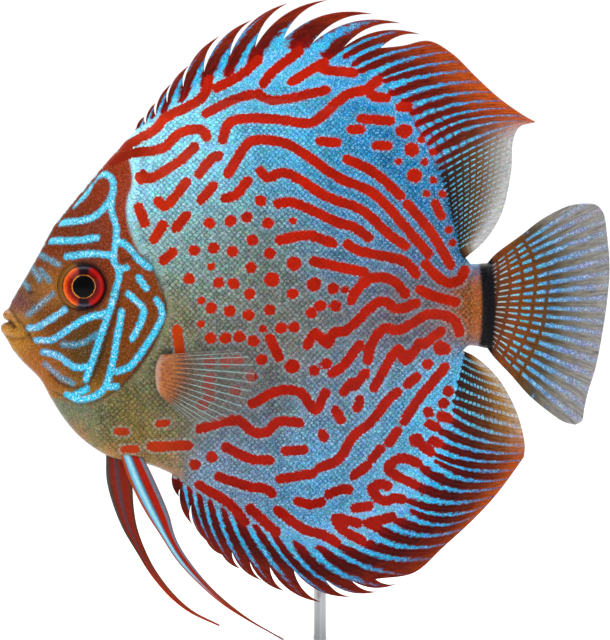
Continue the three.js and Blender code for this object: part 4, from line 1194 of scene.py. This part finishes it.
def fish_skin(name, settings, scaled=False):
    """Wet fish skin, mucus over guanine: the colour lies under a thin clear layer that glints softly"""
    material, tree = new_material(name)
    keys = ("red", "line", "faint", "ray", "bead", "share", "dash", "fin", "head", "shine",
            "light", "dark", "mark", "glow", *(("scale_tone_and_glitter", "rim") if scaled else ()))
    read = {key: add(tree, "Attribute", {"attribute_name": key}) for key in keys}
    place = add(tree, "TexCoord")["Object"]
    # Pigment cells clump at about 0.7 mm, which makes the edges of the marks ragged
    grain = add(tree, "TexNoise", None, {
        "Vector": place, "Scale": 1400.0, "Detail": 3.0, "Roughness": 0.65})["Fac"]
    # Reflecting cells are too fine to show, so their sparkle is painted into the colour in groups of about
    # 0.35 mm
    sparkle = add(tree, "TexNoise", None, {"Vector": place, "Scale": 2800.0, "Detail": 2.0})["Fac"]
    patch = add(tree, "TexNoise", None, {"Vector": place, "Scale": 160.0, "Detail": 2.0})["Fac"]

    # Fin tissue runs in fibres along the rays, five or so to each ray
    along = add(tree, "CombineXYZ", None, {
        "X": add(tree, "Math", {"operation": "MULTIPLY"}, {0: read["ray"]["Fac"], 1: 4.5})[0],
        "Y": read["bead"]["Fac"]})[0]
    fibre = add(tree, "TexNoise", None, {
        "Vector": along, "Scale": 1.0, "Detail": 3.0, "Roughness": 0.6})["Fac"]
    fibre = add(tree, "Math", {"operation": "SUBTRACT"}, {0: fibre, 1: 0.5})[0]
    fibre = add(tree, "Math", {"operation": "MULTIPLY"}, {0: fibre, 1: read["fin"]["Fac"]})[0]

    def ragged(key, amount, soft):
        edge = add(tree, "Math", {"operation": "MULTIPLY_ADD"}, {
            0: grain, 1: amount, 2: read[key]["Fac"]})[0]
        return add(tree, "MapRange", {"interpolation_type": "SMOOTHSTEP"}, {
            "Value": edge, "From Min": amount / 2 + soft, "From Max": amount / 2 - soft})["Result"]

    def folded(value):
        fold = add(tree, "Math", {"operation": "FRACT"}, {0: value})[0]
        fold = add(tree, "Math", {"operation": "SUBTRACT"}, {0: fold, 1: 0.5})[0]
        return add(tree, "Math", {"operation": "ABSOLUTE"}, {0: fold})[0]

    red = ragged("red", settings.edge_raggedness * 1000, 0.14)
    line = ragged("line", settings.edge_raggedness * 1300, 0.2)
    faint = ragged("faint", settings.edge_raggedness * 1600, 0.45)

    # Streaks between the rays of the fins, broken into beads where the fin is soft
    wave = folded(read["ray"]["Fac"])
    wave = add(tree, "Math", {"operation": "MULTIPLY_ADD"}, {0: wave, 1: 2.0, 2: -0.2})[0]
    wave = add(tree, "Math", {"operation": "MULTIPLY_ADD"}, {0: grain, 1: 0.4, 2: wave})[0]
    wave = add(tree, "Math", {"operation": "MULTIPLY_ADD"}, {0: fibre, 1: 1.1, 2: wave})[0]
    streak = add(tree, "Math", {"operation": "SUBTRACT"}, {0: read["share"]["Fac"], 1: wave})[0]
    streak = add(tree, "MapRange", {"interpolation_type": "SMOOTHSTEP"}, {
        "Value": streak, "From Min": -0.16, "From Max": 0.16})["Result"]
    number = add(tree, "Math", {"operation": "FLOOR"}, {0: read["ray"]["Fac"]})[0]
    bead = add(tree, "Math", {"operation": "MULTIPLY_ADD"}, {0: number, 1: 0.07, 2: read["bead"]["Fac"]})[0]
    bead = add(tree, "Math", {"operation": "MULTIPLY_ADD"}, {0: grain, 1: 0.35, 2: bead})[0]
    bead = folded(bead)
    gap = add(tree, "MapRange", {"interpolation_type": "SMOOTHSTEP"}, {
        "Value": bead, "From Min": 0.3, "From Max": 0.4})["Result"]
    gap = add(tree, "Math", {"operation": "MULTIPLY"}, {0: gap, 1: read["dash"]["Fac"]})[0]
    kept = add(tree, "Math", {"operation": "SUBTRACT"}, {0: 1.0, 1: gap})[0]
    streak = add(tree, "Math", {"operation": "MULTIPLY"}, {0: streak, 1: kept})[0]

    # Branched rays show as three fine lines to each ray
    fine = add(tree, "Math", {"operation": "MULTIPLY"}, {0: read["ray"]["Fac"], 1: 3.0 * 2 * math.pi})[0]
    fine = add(tree, "Math", {"operation": "SINE"}, {0: fine})[0]
    fine = add(tree, "Math", {"operation": "MULTIPLY"}, {0: fine, 1: read["fin"]["Fac"]})[0]
    dark_gain = add(tree, "Math", {"operation": "MULTIPLY_ADD"}, {0: fine, 1: 0.1, 2: 0.72})[0]
    dark_gain = add(tree, "Math", {"operation": "MULTIPLY_ADD"}, {0: fibre, 1: 2.0, 2: dark_gain})[0]
    dark_gain = add(tree, "Math", {"operation": "MULTIPLY_ADD"}, {0: grain, 1: 0.56, 2: dark_gain})[0]
    dark = add(tree, "VectorMath", {"operation": "SCALE"}, {
        0: read["dark"]["Color"], "Scale": dark_gain})[0]

    # Painted sparkle: the pale (light) colour is made brighter and darker from cell to cell, and from scale
    # to scale, partly the skin's own uneven tone and partly the light that reflecting cells and tilted
    # scales catch
    glitter = add(tree, "MapRange", None, {
        "Value": sparkle, "From Min": 0.3, "From Max": 0.7,
        "To Min": 1 - settings.glitter, "To Max": 1 + settings.glitter})["Result"]
    if scaled:
        scale_tone_and_glitter = add(tree, "MapRange", None, {
            "Value": read["scale_tone_and_glitter"]["Fac"], "To Min": 0.8, "To Max": 1.22})["Result"]
        glitter = add(tree, "Math", {"operation": "MULTIPLY"}, {0: glitter, 1: scale_tone_and_glitter})[0]
    light = add(tree, "VectorMath", {"operation": "SCALE"}, {
        0: read["light"]["Color"], "Scale": glitter})[0]
    # Lilac, teal and olive cells about 1.5 mm across lie among each other
    hue = add(tree, "TexNoise", None, {
        "Vector": place, "Scale": 700.0, "Detail": 3.0, "Roughness": 0.7})["Color"]
    hue = add(tree, "VectorMath", {"operation": "MULTIPLY_ADD"}, {
        0: hue, 1: (1.5, 1.1, 1.2), 2: (0.24, 0.44, 0.4)})[0]
    calm = add(tree, "Math", {"operation": "MULTIPLY"}, {0: read["head"]["Fac"], 1: 0.75})[0]
    hue = add(tree, "Mix", {"data_type": "RGBA"}, {0: calm, 6: hue, 7: (1, 1, 1, 1)})[2]
    light = add(tree, "VectorMath", {"operation": "MULTIPLY"}, {0: light, 1: hue})[0]
    # Bright cells show as painted glints, points of almost white light mixed into the colour, thickest along
    # the edges of the red marks
    glint_halo = add(tree, "MapRange", {"interpolation_type": "SMOOTHSTEP"}, {
        "Value": read["red"]["Fac"], "From Min": 1.0, "From Max": 0.2})["Result"]
    glint = add(tree, "MapRange", None, {"Value": sparkle, "From Min": 0.54, "From Max": 0.72})["Result"]
    glint = add(tree, "Math", {"operation": "MULTIPLY"}, {0: glint, 1: read["shine"]["Fac"]})[0]
    glint_halo_strength = add(tree, "Math", {"operation": "MULTIPLY_ADD"}, {0: read["head"]["Fac"], 1: -0.22, 2: 0.22})[0]
    glint_halo = add(tree, "Math", {"operation": "MULTIPLY_ADD"}, {0: glint_halo, 1: glint_halo_strength, 2: glint})[0]
    glint_halo = add(tree, "Math", {"operation": "MULTIPLY"}, {0: glint_halo, 1: settings.glint_amount})[0]
    light = add(tree, "Mix", {"data_type": "RGBA"}, {0: glint_halo, 6: light, 7: (*settings.glint_colour, 1)})[2]

    colour = add(tree, "Mix", {"data_type": "RGBA"}, {0: streak, 6: dark, 7: light})[2]
    # The pale lines are brightest along their middles and set with painted glints of almost white light
    glow_gain = add(tree, "MapRange", None, {
        "Value": sparkle, "From Min": 0.34, "From Max": 0.66, "To Min": 0.45, "To Max": 1.5})["Result"]
    middle = add(tree, "MapRange", None, {
        "Value": read["line"]["Fac"], "From Min": -0.6, "From Max": 0.1,
        "To Min": 1.1, "To Max": 0.6})["Result"]
    glow_gain = add(tree, "Math", {"operation": "MULTIPLY"}, {0: glow_gain, 1: middle})[0]
    glow = add(tree, "VectorMath", {"operation": "SCALE"}, {
        0: read["glow"]["Color"], "Scale": glow_gain})[0]
    spark = add(tree, "MapRange", None, {
        "Value": grain, "From Min": 0.52, "From Max": 0.68, "To Max": 0.75})["Result"]
    glow = add(tree, "Mix", {"data_type": "RGBA"}, {0: spark, 6: glow, 7: (*settings.glint_colour, 1)})[2]
    faint = add(tree, "Math", {"operation": "MULTIPLY"}, {0: faint, 1: 0.75})[0]
    colour = add(tree, "Mix", {"data_type": "RGBA"}, {0: faint, 6: colour, 7: glow})[2]
    colour = add(tree, "Mix", {"data_type": "RGBA"}, {0: line, 6: colour, 7: glow})[2]
    red_gain = add(tree, "MapRange", None, {
        "Value": patch, "From Min": 0.3, "From Max": 0.7, "To Min": 0.8, "To Max": 1.2})["Result"]
    mark = add(tree, "VectorMath", {"operation": "SCALE"}, {0: read["mark"]["Color"], "Scale": red_gain})[0]
    colour = add(tree, "Mix", {"data_type": "RGBA"}, {0: red, 6: colour, 7: mark})[2]
    if scaled:
        # The free rim of each scale overlaps the next and shows as a dark net: partly the darker edge of the
        # scale itself, partly painted shade where it lies over the next
        rim_pigment_and_shade = add(tree, "Math", {"operation": "MULTIPLY_ADD"}, {
            0: patch, 1: 0.6, 2: read["rim"]["Fac"]})[0]
        rim_pigment_and_shade = add(tree, "Math", {"operation": "MULTIPLY_ADD"}, {0: grain, 1: 0.9, 2: rim_pigment_and_shade})[0]
        rim_pigment_and_shade = add(tree, "Math", {"operation": "SUBTRACT"}, {0: rim_pigment_and_shade, 1: 0.73})[0]
        net = add(tree, "MapRange", {"interpolation_type": "SMOOTHSTEP"}, {
            "Value": rim_pigment_and_shade, "From Min": 0.6, "From Max": 1.0,
            "To Min": 1.0, "To Max": 1 - settings.net_depth})["Result"]
        net = add(tree, "Math", {"operation": "MAXIMUM"}, {0: net, 1: red})[0]
        colour = add(tree, "VectorMath", {"operation": "SCALE"}, {0: colour, "Scale": net})[0]

    ridge_height = add(tree, "Math", {"operation": "MULTIPLY_ADD"}, {0: grain, 1: 0.6, 2: fine})[0]
    bump = add(tree, "Bump", None, {"Strength": 0.35, "Distance": 0.00012, "Height": ridge_height})["Normal"]
    rough = add(tree, "MapRange", None, {"Value": grain, "To Min": 0.3, "To Max": 0.5})["Result"]
    surface = add(tree, "BsdfPrincipled", None, {
        "Base Color": colour, "Roughness": rough, "IOR": 1.36, "Normal": bump,
        "Specular IOR Level": 0.13, "Coat Weight": 0.03, "Coat Roughness": 0.15, "Coat IOR": 1.33})["BSDF"]
    finish_material(tree, surface)
    return material


def eye_material():
    """A wet cornea over a pigmented iris: deep red and orange under a clear, sharp gloss"""
    material, tree = new_material("wet cornea over a red iris")
    ring = add(tree, "Attribute", {"attribute_name": "ring"})["Fac"]
    turn = add(tree, "Attribute", {"attribute_name": "turn"})["Fac"]
    place = add(tree, "TexCoord")["Object"]
    # Fibres and flecks of the iris, about 0.5 mm apart
    fleck = add(tree, "TexNoise", None, {"Vector": place, "Scale": 2000.0, "Detail": 4.0})["Fac"]
    moved = add(tree, "Math", {"operation": "MULTIPLY_ADD"}, {0: fleck, 1: 0.5, 2: ring})[0]
    share = add(tree, "MapRange", None, {
        "Value": moved, "From Min": 0.25, "From Max": EYE_RADIUS + 0.25})["Result"]

    def iris(stops):
        ramp = add(tree, "ValToRGB", None, {"Fac": share})
        band = ramp[0].node.color_ramp
        for i, (at, colour) in enumerate(stops):
            stop = band.elements[i] if i < 2 else band.elements.new(at / EYE_RADIUS)
            stop.position = at / EYE_RADIUS
            stop.color = rgba(colour)
        return ramp["Color"]

    bright = iris((
        (0, "#020203"), (6.8, "#583408"), (2.72, "#030304"), (2.82, "#D89038"), (2.98, "#B85014"),
        (3.15, "#54100A"), (3.9, "#8C180C"), (4.5, "#CC4010"), (5.0, "#E06C20"), (5.25, "#30100A"),
        (5.6, "#7C5020"),
    ))
    red = iris((
        (0, "#020203"), (6.8, "#241414"), (2.72, "#030304"), (2.82, "#D89038"), (2.98, "#802010"),
        (3.15, "#4C0808"), (3.9, "#7C0C0C"), (4.5, "#C01414"), (4.95, "#A01810"), (5.2, "#240C0C"),
        (5.6, "#382028"),
    ))
    deep = iris((
        (0, "#020203"), (6.8, "#281810"), (2.72, "#030304"), (2.82, "#A06828"), (2.98, "#4C1408"),
        (3.2, "#100406"), (4.2, "#1C1018"), (4.7, "#4C4654"), (5.2, "#0C080C"), (5.6, "#302424"),
    ))
    side = add(tree, "MapRange", {"interpolation_type": "SMOOTHSTEP"}, {
        "Value": turn, "From Min": -0.4, "From Max": 0.4})["Result"]
    bright = add(tree, "Mix", {"data_type": "RGBA"}, {0: side, 6: bright, 7: red})[2]
    upright = add(tree, "Math", {"operation": "ABSOLUTE"}, {0: turn})[0]
    upright = add(tree, "MapRange", {"interpolation_type": "SMOOTHSTEP"}, {
        "Value": upright, "From Min": 0.5, "From Max": 0.2})["Result"]
    colour = add(tree, "Mix", {"data_type": "RGBA"}, {0: upright, 6: bright, 7: deep})[2]
    surface = add(tree, "BsdfPrincipled", None, {
        "Base Color": colour, "Roughness": 0.4, "IOR": 1.376, "Specular IOR Level": 0.05,
        "Coat Weight": 0.12, "Coat Roughness": 0.02, "Coat IOR": 1.4})["BSDF"]
    finish_material(tree, surface)
    return material


def pectoral_material():
    """Clear fin membrane between pale rays, on fleshy orange skin: what is behind it shows through"""
    material, tree = new_material("clear fin membrane")
    reach = add(tree, "Attribute", {"attribute_name": "reach"})["Fac"]
    ray = add(tree, "Attribute", {"attribute_name": "ray"})["Fac"]
    place = add(tree, "TexCoord")["Object"]
    grain = add(tree, "TexNoise", None, {"Vector": place, "Scale": 1400.0, "Detail": 3.0})["Fac"]
    wave = add(tree, "Math", {"operation": "MULTIPLY"}, {0: ray, 1: 2 * math.pi})[0]
    wave = add(tree, "Math", {"operation": "COSINE"}, {0: wave})[0]
    bright = add(tree, "MapRange", {"interpolation_type": "SMOOTHSTEP"}, {
        "Value": wave, "From Min": 0.72, "From Max": 1.0})["Result"]
    # Flesh reaches further out along each ray than between them
    frayed = add(tree, "Math", {"operation": "MULTIPLY_ADD"}, {0: wave, 1: -0.06, 2: reach})[0]
    frayed = add(tree, "Math", {"operation": "MULTIPLY_ADD"}, {0: grain, 1: 0.3, 2: frayed})[0]
    flesh = add(tree, "MapRange", {"interpolation_type": "SMOOTHSTEP"}, {
        "Value": frayed, "From Min": 0.62, "From Max": 0.3})["Result"]
    body = add(tree, "MapRange", None, {"Value": grain, "From Min": 0.36, "From Max": 0.64})["Result"]
    body = add(tree, "Mix", {"data_type": "RGBA"}, {
        0: body, 6: rgba("#803C10"), 7: rgba("#AC6420")})[2]
    rim = add(tree, "MapRange", None, {
        "Value": reach, "From Min": 0.07, "From Max": 0.02, "To Max": 0.8})["Result"]
    body = add(tree, "Mix", {"data_type": "RGBA"}, {0: rim, 6: body, 7: rgba("#B4907C")})[2]
    fan = add(tree, "Mix", {"data_type": "RGBA"}, {
        0: bright, 6: rgba("#6C5C54"), 7: rgba("#8CB0B0")})[2]
    colour = add(tree, "Mix", {"data_type": "RGBA"}, {0: flesh, 6: fan, 7: body})[2]
    faded = add(tree, "MapRange", None, {
        "Value": reach, "From Min": 0.2, "From Max": 1.0,
        "To Min": 0.7, "To Max": 0.1})["Result"]
    film = add(tree, "MapRange", None, {"Value": grain, "To Min": 0.08, "To Max": 0.4})["Result"]
    solid = add(tree, "Math", {"operation": "MULTIPLY_ADD"}, {0: bright, 1: faded, 2: film})[0]
    solid = add(tree, "Math", {"operation": "MAXIMUM"}, {0: solid, 1: flesh})[0]
    bump = add(tree, "Bump", None, {"Strength": 0.4, "Distance": 0.00015, "Height": wave})["Normal"]
    surface = add(tree, "BsdfPrincipled", None, {
        "Base Color": colour, "Roughness": 0.35, "IOR": 1.38, "Alpha": solid, "Normal": bump,
        "Coat Weight": 0.2, "Coat Roughness": 0.1})["BSDF"]
    finish_material(tree, surface)
    return material


def acrylic_material(settings):
    """White cast acrylic with a fine satin: pale, faintly cloudy, softly glossy"""
    material, tree = new_material("satin cast acrylic")
    place = add(tree, "TexCoord")["Object"]
    # Satin blasting leaves pits about 0.2 mm across
    pits = add(tree, "TexNoise", None, {"Vector": place, "Scale": 5000.0, "Detail": 2.0})["Fac"]
    cloud = add(tree, "TexNoise", None, {"Vector": place, "Scale": 25.0, "Detail": 2.0})["Fac"]
    base = np.array(settings.plate_colour)
    colour = add(tree, "Mix", {"data_type": "RGBA"}, {0: cloud, 6: (*base * 0.95, 1), 7: (*base, 1)})[2]
    rough = add(tree, "MapRange", None, {"Value": pits, "To Min": 0.3, "To Max": 0.45})["Result"]
    bump = add(tree, "Bump", None, {"Strength": 0.1, "Distance": 0.00003, "Height": pits})["Normal"]
    surface = add(tree, "BsdfPrincipled", None, {
        "Base Color": colour, "Roughness": rough, "IOR": 1.49, "Normal": bump})["BSDF"]
    finish_material(tree, surface)
    return material


def steel_material():
    """Stainless steel rod, brushed along its length: fine upright lines that stretch the highlights"""
    material, tree = new_material("brushed stainless steel")
    place = add(tree, "TexCoord")["Object"]
    drawn = add(tree, "Mapping", None, {"Vector": place, "Scale": (6000.0, 6000.0, 60.0)})["Vector"]
    # Grit lines about 0.15 mm apart, long along the rod
    lines = add(tree, "TexNoise", None, {"Vector": drawn, "Scale": 1.0, "Detail": 2.0})["Fac"]
    colour = add(tree, "Mix", {"data_type": "RGBA"}, {
        0: lines, 6: rgba("#A4A6AA"), 7: rgba("#C8CACC")})[2]
    rough = add(tree, "MapRange", None, {"Value": lines, "To Min": 0.22, "To Max": 0.4})["Result"]
    bump = add(tree, "Bump", None, {"Strength": 0.15, "Distance": 0.00002, "Height": lines})["Normal"]
    surface = add(tree, "BsdfPrincipled", None, {
        "Base Color": colour, "Metallic": 1.0, "Roughness": rough, "Normal": bump})["BSDF"]
    finish_material(tree, surface)
    return material


class DiscusSettings(bpy.types.PropertyGroup):
    """Sizes and colours of the fish and its stand"""

    scale_pitch: FloatProperty(
        name="Scale pitch", description="Distance from one scale to the next along the flank",
        default=0.00146, min=0.001, max=0.004, unit="LENGTH", subtype="DISTANCE",
    )
    edge_raggedness: FloatProperty(
        name="Ragged edges", description="How far the edges of the marks wander",
        default=0.0015, min=0, max=0.003, unit="LENGTH", subtype="DISTANCE",
    )
    # The glitter is painted sparkle: cells of the pale skin made brighter and darker
    glitter: FloatProperty(
        name="Glitter", description="How much the pale skin sparkles from cell to cell",
        default=0.42, min=0, max=1, subtype="FACTOR",
    )
    net_depth: FloatProperty(
        name="Net", description="How dark the rims of the scales are",
        default=0.62, min=0, max=1, subtype="FACTOR",
    )
    # The glints are painted highlights mixed into the skin's colour
    glint_amount: FloatProperty(
        name="Glints", description="How many points of almost white light the pale skin shows",
        default=0.5, min=0, max=1, subtype="FACTOR",
    )
    glint_colour: FloatVectorProperty(
        name="Glint colour", description="Colour of the brightest cells of the skin",
        default=linear("#D8ECFA"), size=3, min=0, max=1, subtype="COLOR",
    )
    plate_colour: FloatVectorProperty(
        name="Plate colour", description="Colour of the stand's acrylic plate",
        default=linear("#C4C6C6"), size=3, min=0, max=1, subtype="COLOR",
    )
    wall_colour: FloatVectorProperty(
        name="Backdrop colour", description="Colour of the floor and backdrop",
        default=linear("#F4F4F4"), size=3, min=0, max=1, subtype="COLOR",
    )
    camera_distance: FloatProperty(
        name="Camera distance", description="Distance from the camera to the middle of the fish",
        default=1.4, min=0.3, max=5, unit="LENGTH", subtype="DISTANCE",
    )


class DISCUS_OT_skin(bpy.types.Operator):
    """Build the skin of the body and its upright and pelvic fins"""

    bl_idname = "discus.skin"
    bl_label = "Skin"

    def execute(self, context):
        build_skin(context.scene.discus)
        return {"FINISHED"}


class DISCUS_OT_scales(bpy.types.Operator):
    """Lay the scales over both flanks"""

    bl_idname = "discus.scales"
    bl_label = "Scales"

    def execute(self, context):
        for flank in (-1, 1):
            build_scales(context.scene.discus, flank)
        return {"FINISHED"}


class DISCUS_OT_eyes(bpy.types.Operator):
    """Set both eyes in their sockets"""

    bl_idname = "discus.eyes"
    bl_label = "Eyes"

    def execute(self, context):
        material = eye_material()
        for flank in (-1, 1):
            build_eye(flank, material)
        return {"FINISHED"}


class DISCUS_OT_pectorals(bpy.types.Operator):
    """Build the half-clear pectoral fins"""

    bl_idname = "discus.pectorals"
    bl_label = "Pectoral fins"

    def execute(self, context):
        material = pectoral_material()
        for flank in (-1, 1):
            build_pectoral(flank, material)
        return {"FINISHED"}


class DISCUS_OT_stand(bpy.types.Operator):
    """Finish the stand's plate and rod"""

    bl_idname = "discus.stand"
    bl_label = "Stand"

    def execute(self, context):
        finishes = (("stand_base", acrylic_material(context.scene.discus)), ("stand_rod", steel_material()))
        for node, material in finishes:
            for spot in frame["nodes"][node].material_slots:
                spot.material = material
        return {"FINISHED"}


def backdrop(settings):
    """A pale floor that curves up into a wall"""
    turn = np.linspace(0, math.pi / 2, 16)
    bend = 0.6
    sweep = [(1.2 + bend * math.sin(t), bend * (1 - math.cos(t))) for t in turn]
    profile = [(-2.4, 0), *sweep, (1.8, 3)]
    verts = [(x, y, z) for x in (-3, 3) for y, z in profile]
    count = len(profile)
    faces = [(i, i + count, i + count + 1, i + 1) for i in range(count - 1)]
    mesh = bpy.data.meshes.new("backdrop")
    mesh.from_pydata(verts, [], faces)
    mesh.shade_smooth()
    material, tree = new_material("matt white backdrop paper")
    place = add(tree, "TexCoord")["Object"]
    # Paper fibres would be under 0.1 mm, so they are drawn as a faint 8 mm mottle
    mottle = add(tree, "TexNoise", None, {"Vector": place, "Scale": 120.0, "Detail": 2.0})["Fac"]
    base = np.array(settings.wall_colour)
    colour = add(tree, "Mix", {"data_type": "RGBA"}, {0: mottle, 6: (*base * 0.99, 1), 7: (*base, 1)})[2]
    finish_material(tree, add(tree, "BsdfPrincipled", None, {
        "Base Color": colour, "Roughness": 0.9, "IOR": 1.45})["BSDF"])
    mesh.materials.append(material)
    floor = bpy.data.objects.new("backdrop", mesh)
    bpy.context.scene.collection.objects.link(floor)


class DISCUS_OT_studio(bpy.types.Operator):
    """Set up the pale floor, soft lights and camera"""

    bl_idname = "discus.studio"
    bl_label = "Studio"

    def execute(self, context):
        scene = context.scene
        settings = scene.discus
        backdrop(settings)
        middle = Vector((0, 0, FRAME_MIDDLE))
        for name, at, size, power in LIGHTS:
            lamp = bpy.data.lights.new(name, "AREA")
            lamp.shape = "DISK"
            lamp.size = size
            lamp.energy = power
            light = bpy.data.objects.new(name, lamp)
            light.location = at
            light.rotation_euler = (middle - Vector(at)).to_track_quat("-Z", "Y").to_euler()
            scene.collection.objects.link(light)
        world_light = bpy.data.worlds.new("soft daylight")
        world_light.use_nodes = True
        sky = world_light.node_tree.nodes["Background"]
        sky.inputs["Color"].default_value = (1, 1, 1, 1)
        sky.inputs["Strength"].default_value = SKY_STRENGTH
        scene.world = world_light
        scene.view_settings.view_transform = "Standard"
        lens = bpy.data.cameras.new("camera")
        lens.sensor_width = 36
        lens.lens = 18 / (FRAME_HEIGHT / 2 / settings.camera_distance)
        lens.clip_end = 20
        camera = bpy.data.objects.new("camera", lens)
        camera.location = (0, -settings.camera_distance, FRAME_MIDDLE)
        camera.rotation_euler = (math.pi / 2, 0, 0)
        scene.collection.objects.link(camera)
        scene.camera = camera
        return {"FINISHED"}


STEPS = (
    DISCUS_OT_skin, DISCUS_OT_scales, DISCUS_OT_eyes, DISCUS_OT_pectorals, DISCUS_OT_stand,
    DISCUS_OT_studio,
)


class DISCUS_PT_panel(bpy.types.Panel):
    """Lists the steps that build the fish, and its settings"""

    bl_idname = "DISCUS_PT_panel"
    bl_label = "Discus fish"
    bl_space_type = "VIEW_3D"
    bl_region_type = "UI"
    bl_category = "Discus"

    def draw(self, context):
        for key in DiscusSettings.__annotations__:
            self.layout.prop(context.scene.discus, key)
        for operator in STEPS:
            self.layout.operator(operator.bl_idname)


def register():
    for cls in (DiscusSettings, *STEPS, DISCUS_PT_panel):
        bpy.utils.register_class(cls)
    bpy.types.Scene.discus = PointerProperty(type=DiscusSettings)


def unregister():
    del bpy.types.Scene.discus
    for cls in reversed((DiscusSettings, *STEPS, DISCUS_PT_panel)):
        bpy.utils.unregister_class(cls)


def main():
    register()
    bpy.ops.discus.skin()
    bpy.ops.discus.scales()
    bpy.ops.discus.eyes()
    bpy.ops.discus.pectorals()
    bpy.ops.discus.stand()
    bpy.ops.discus.studio()


if __name__ == "__main__":
    main()
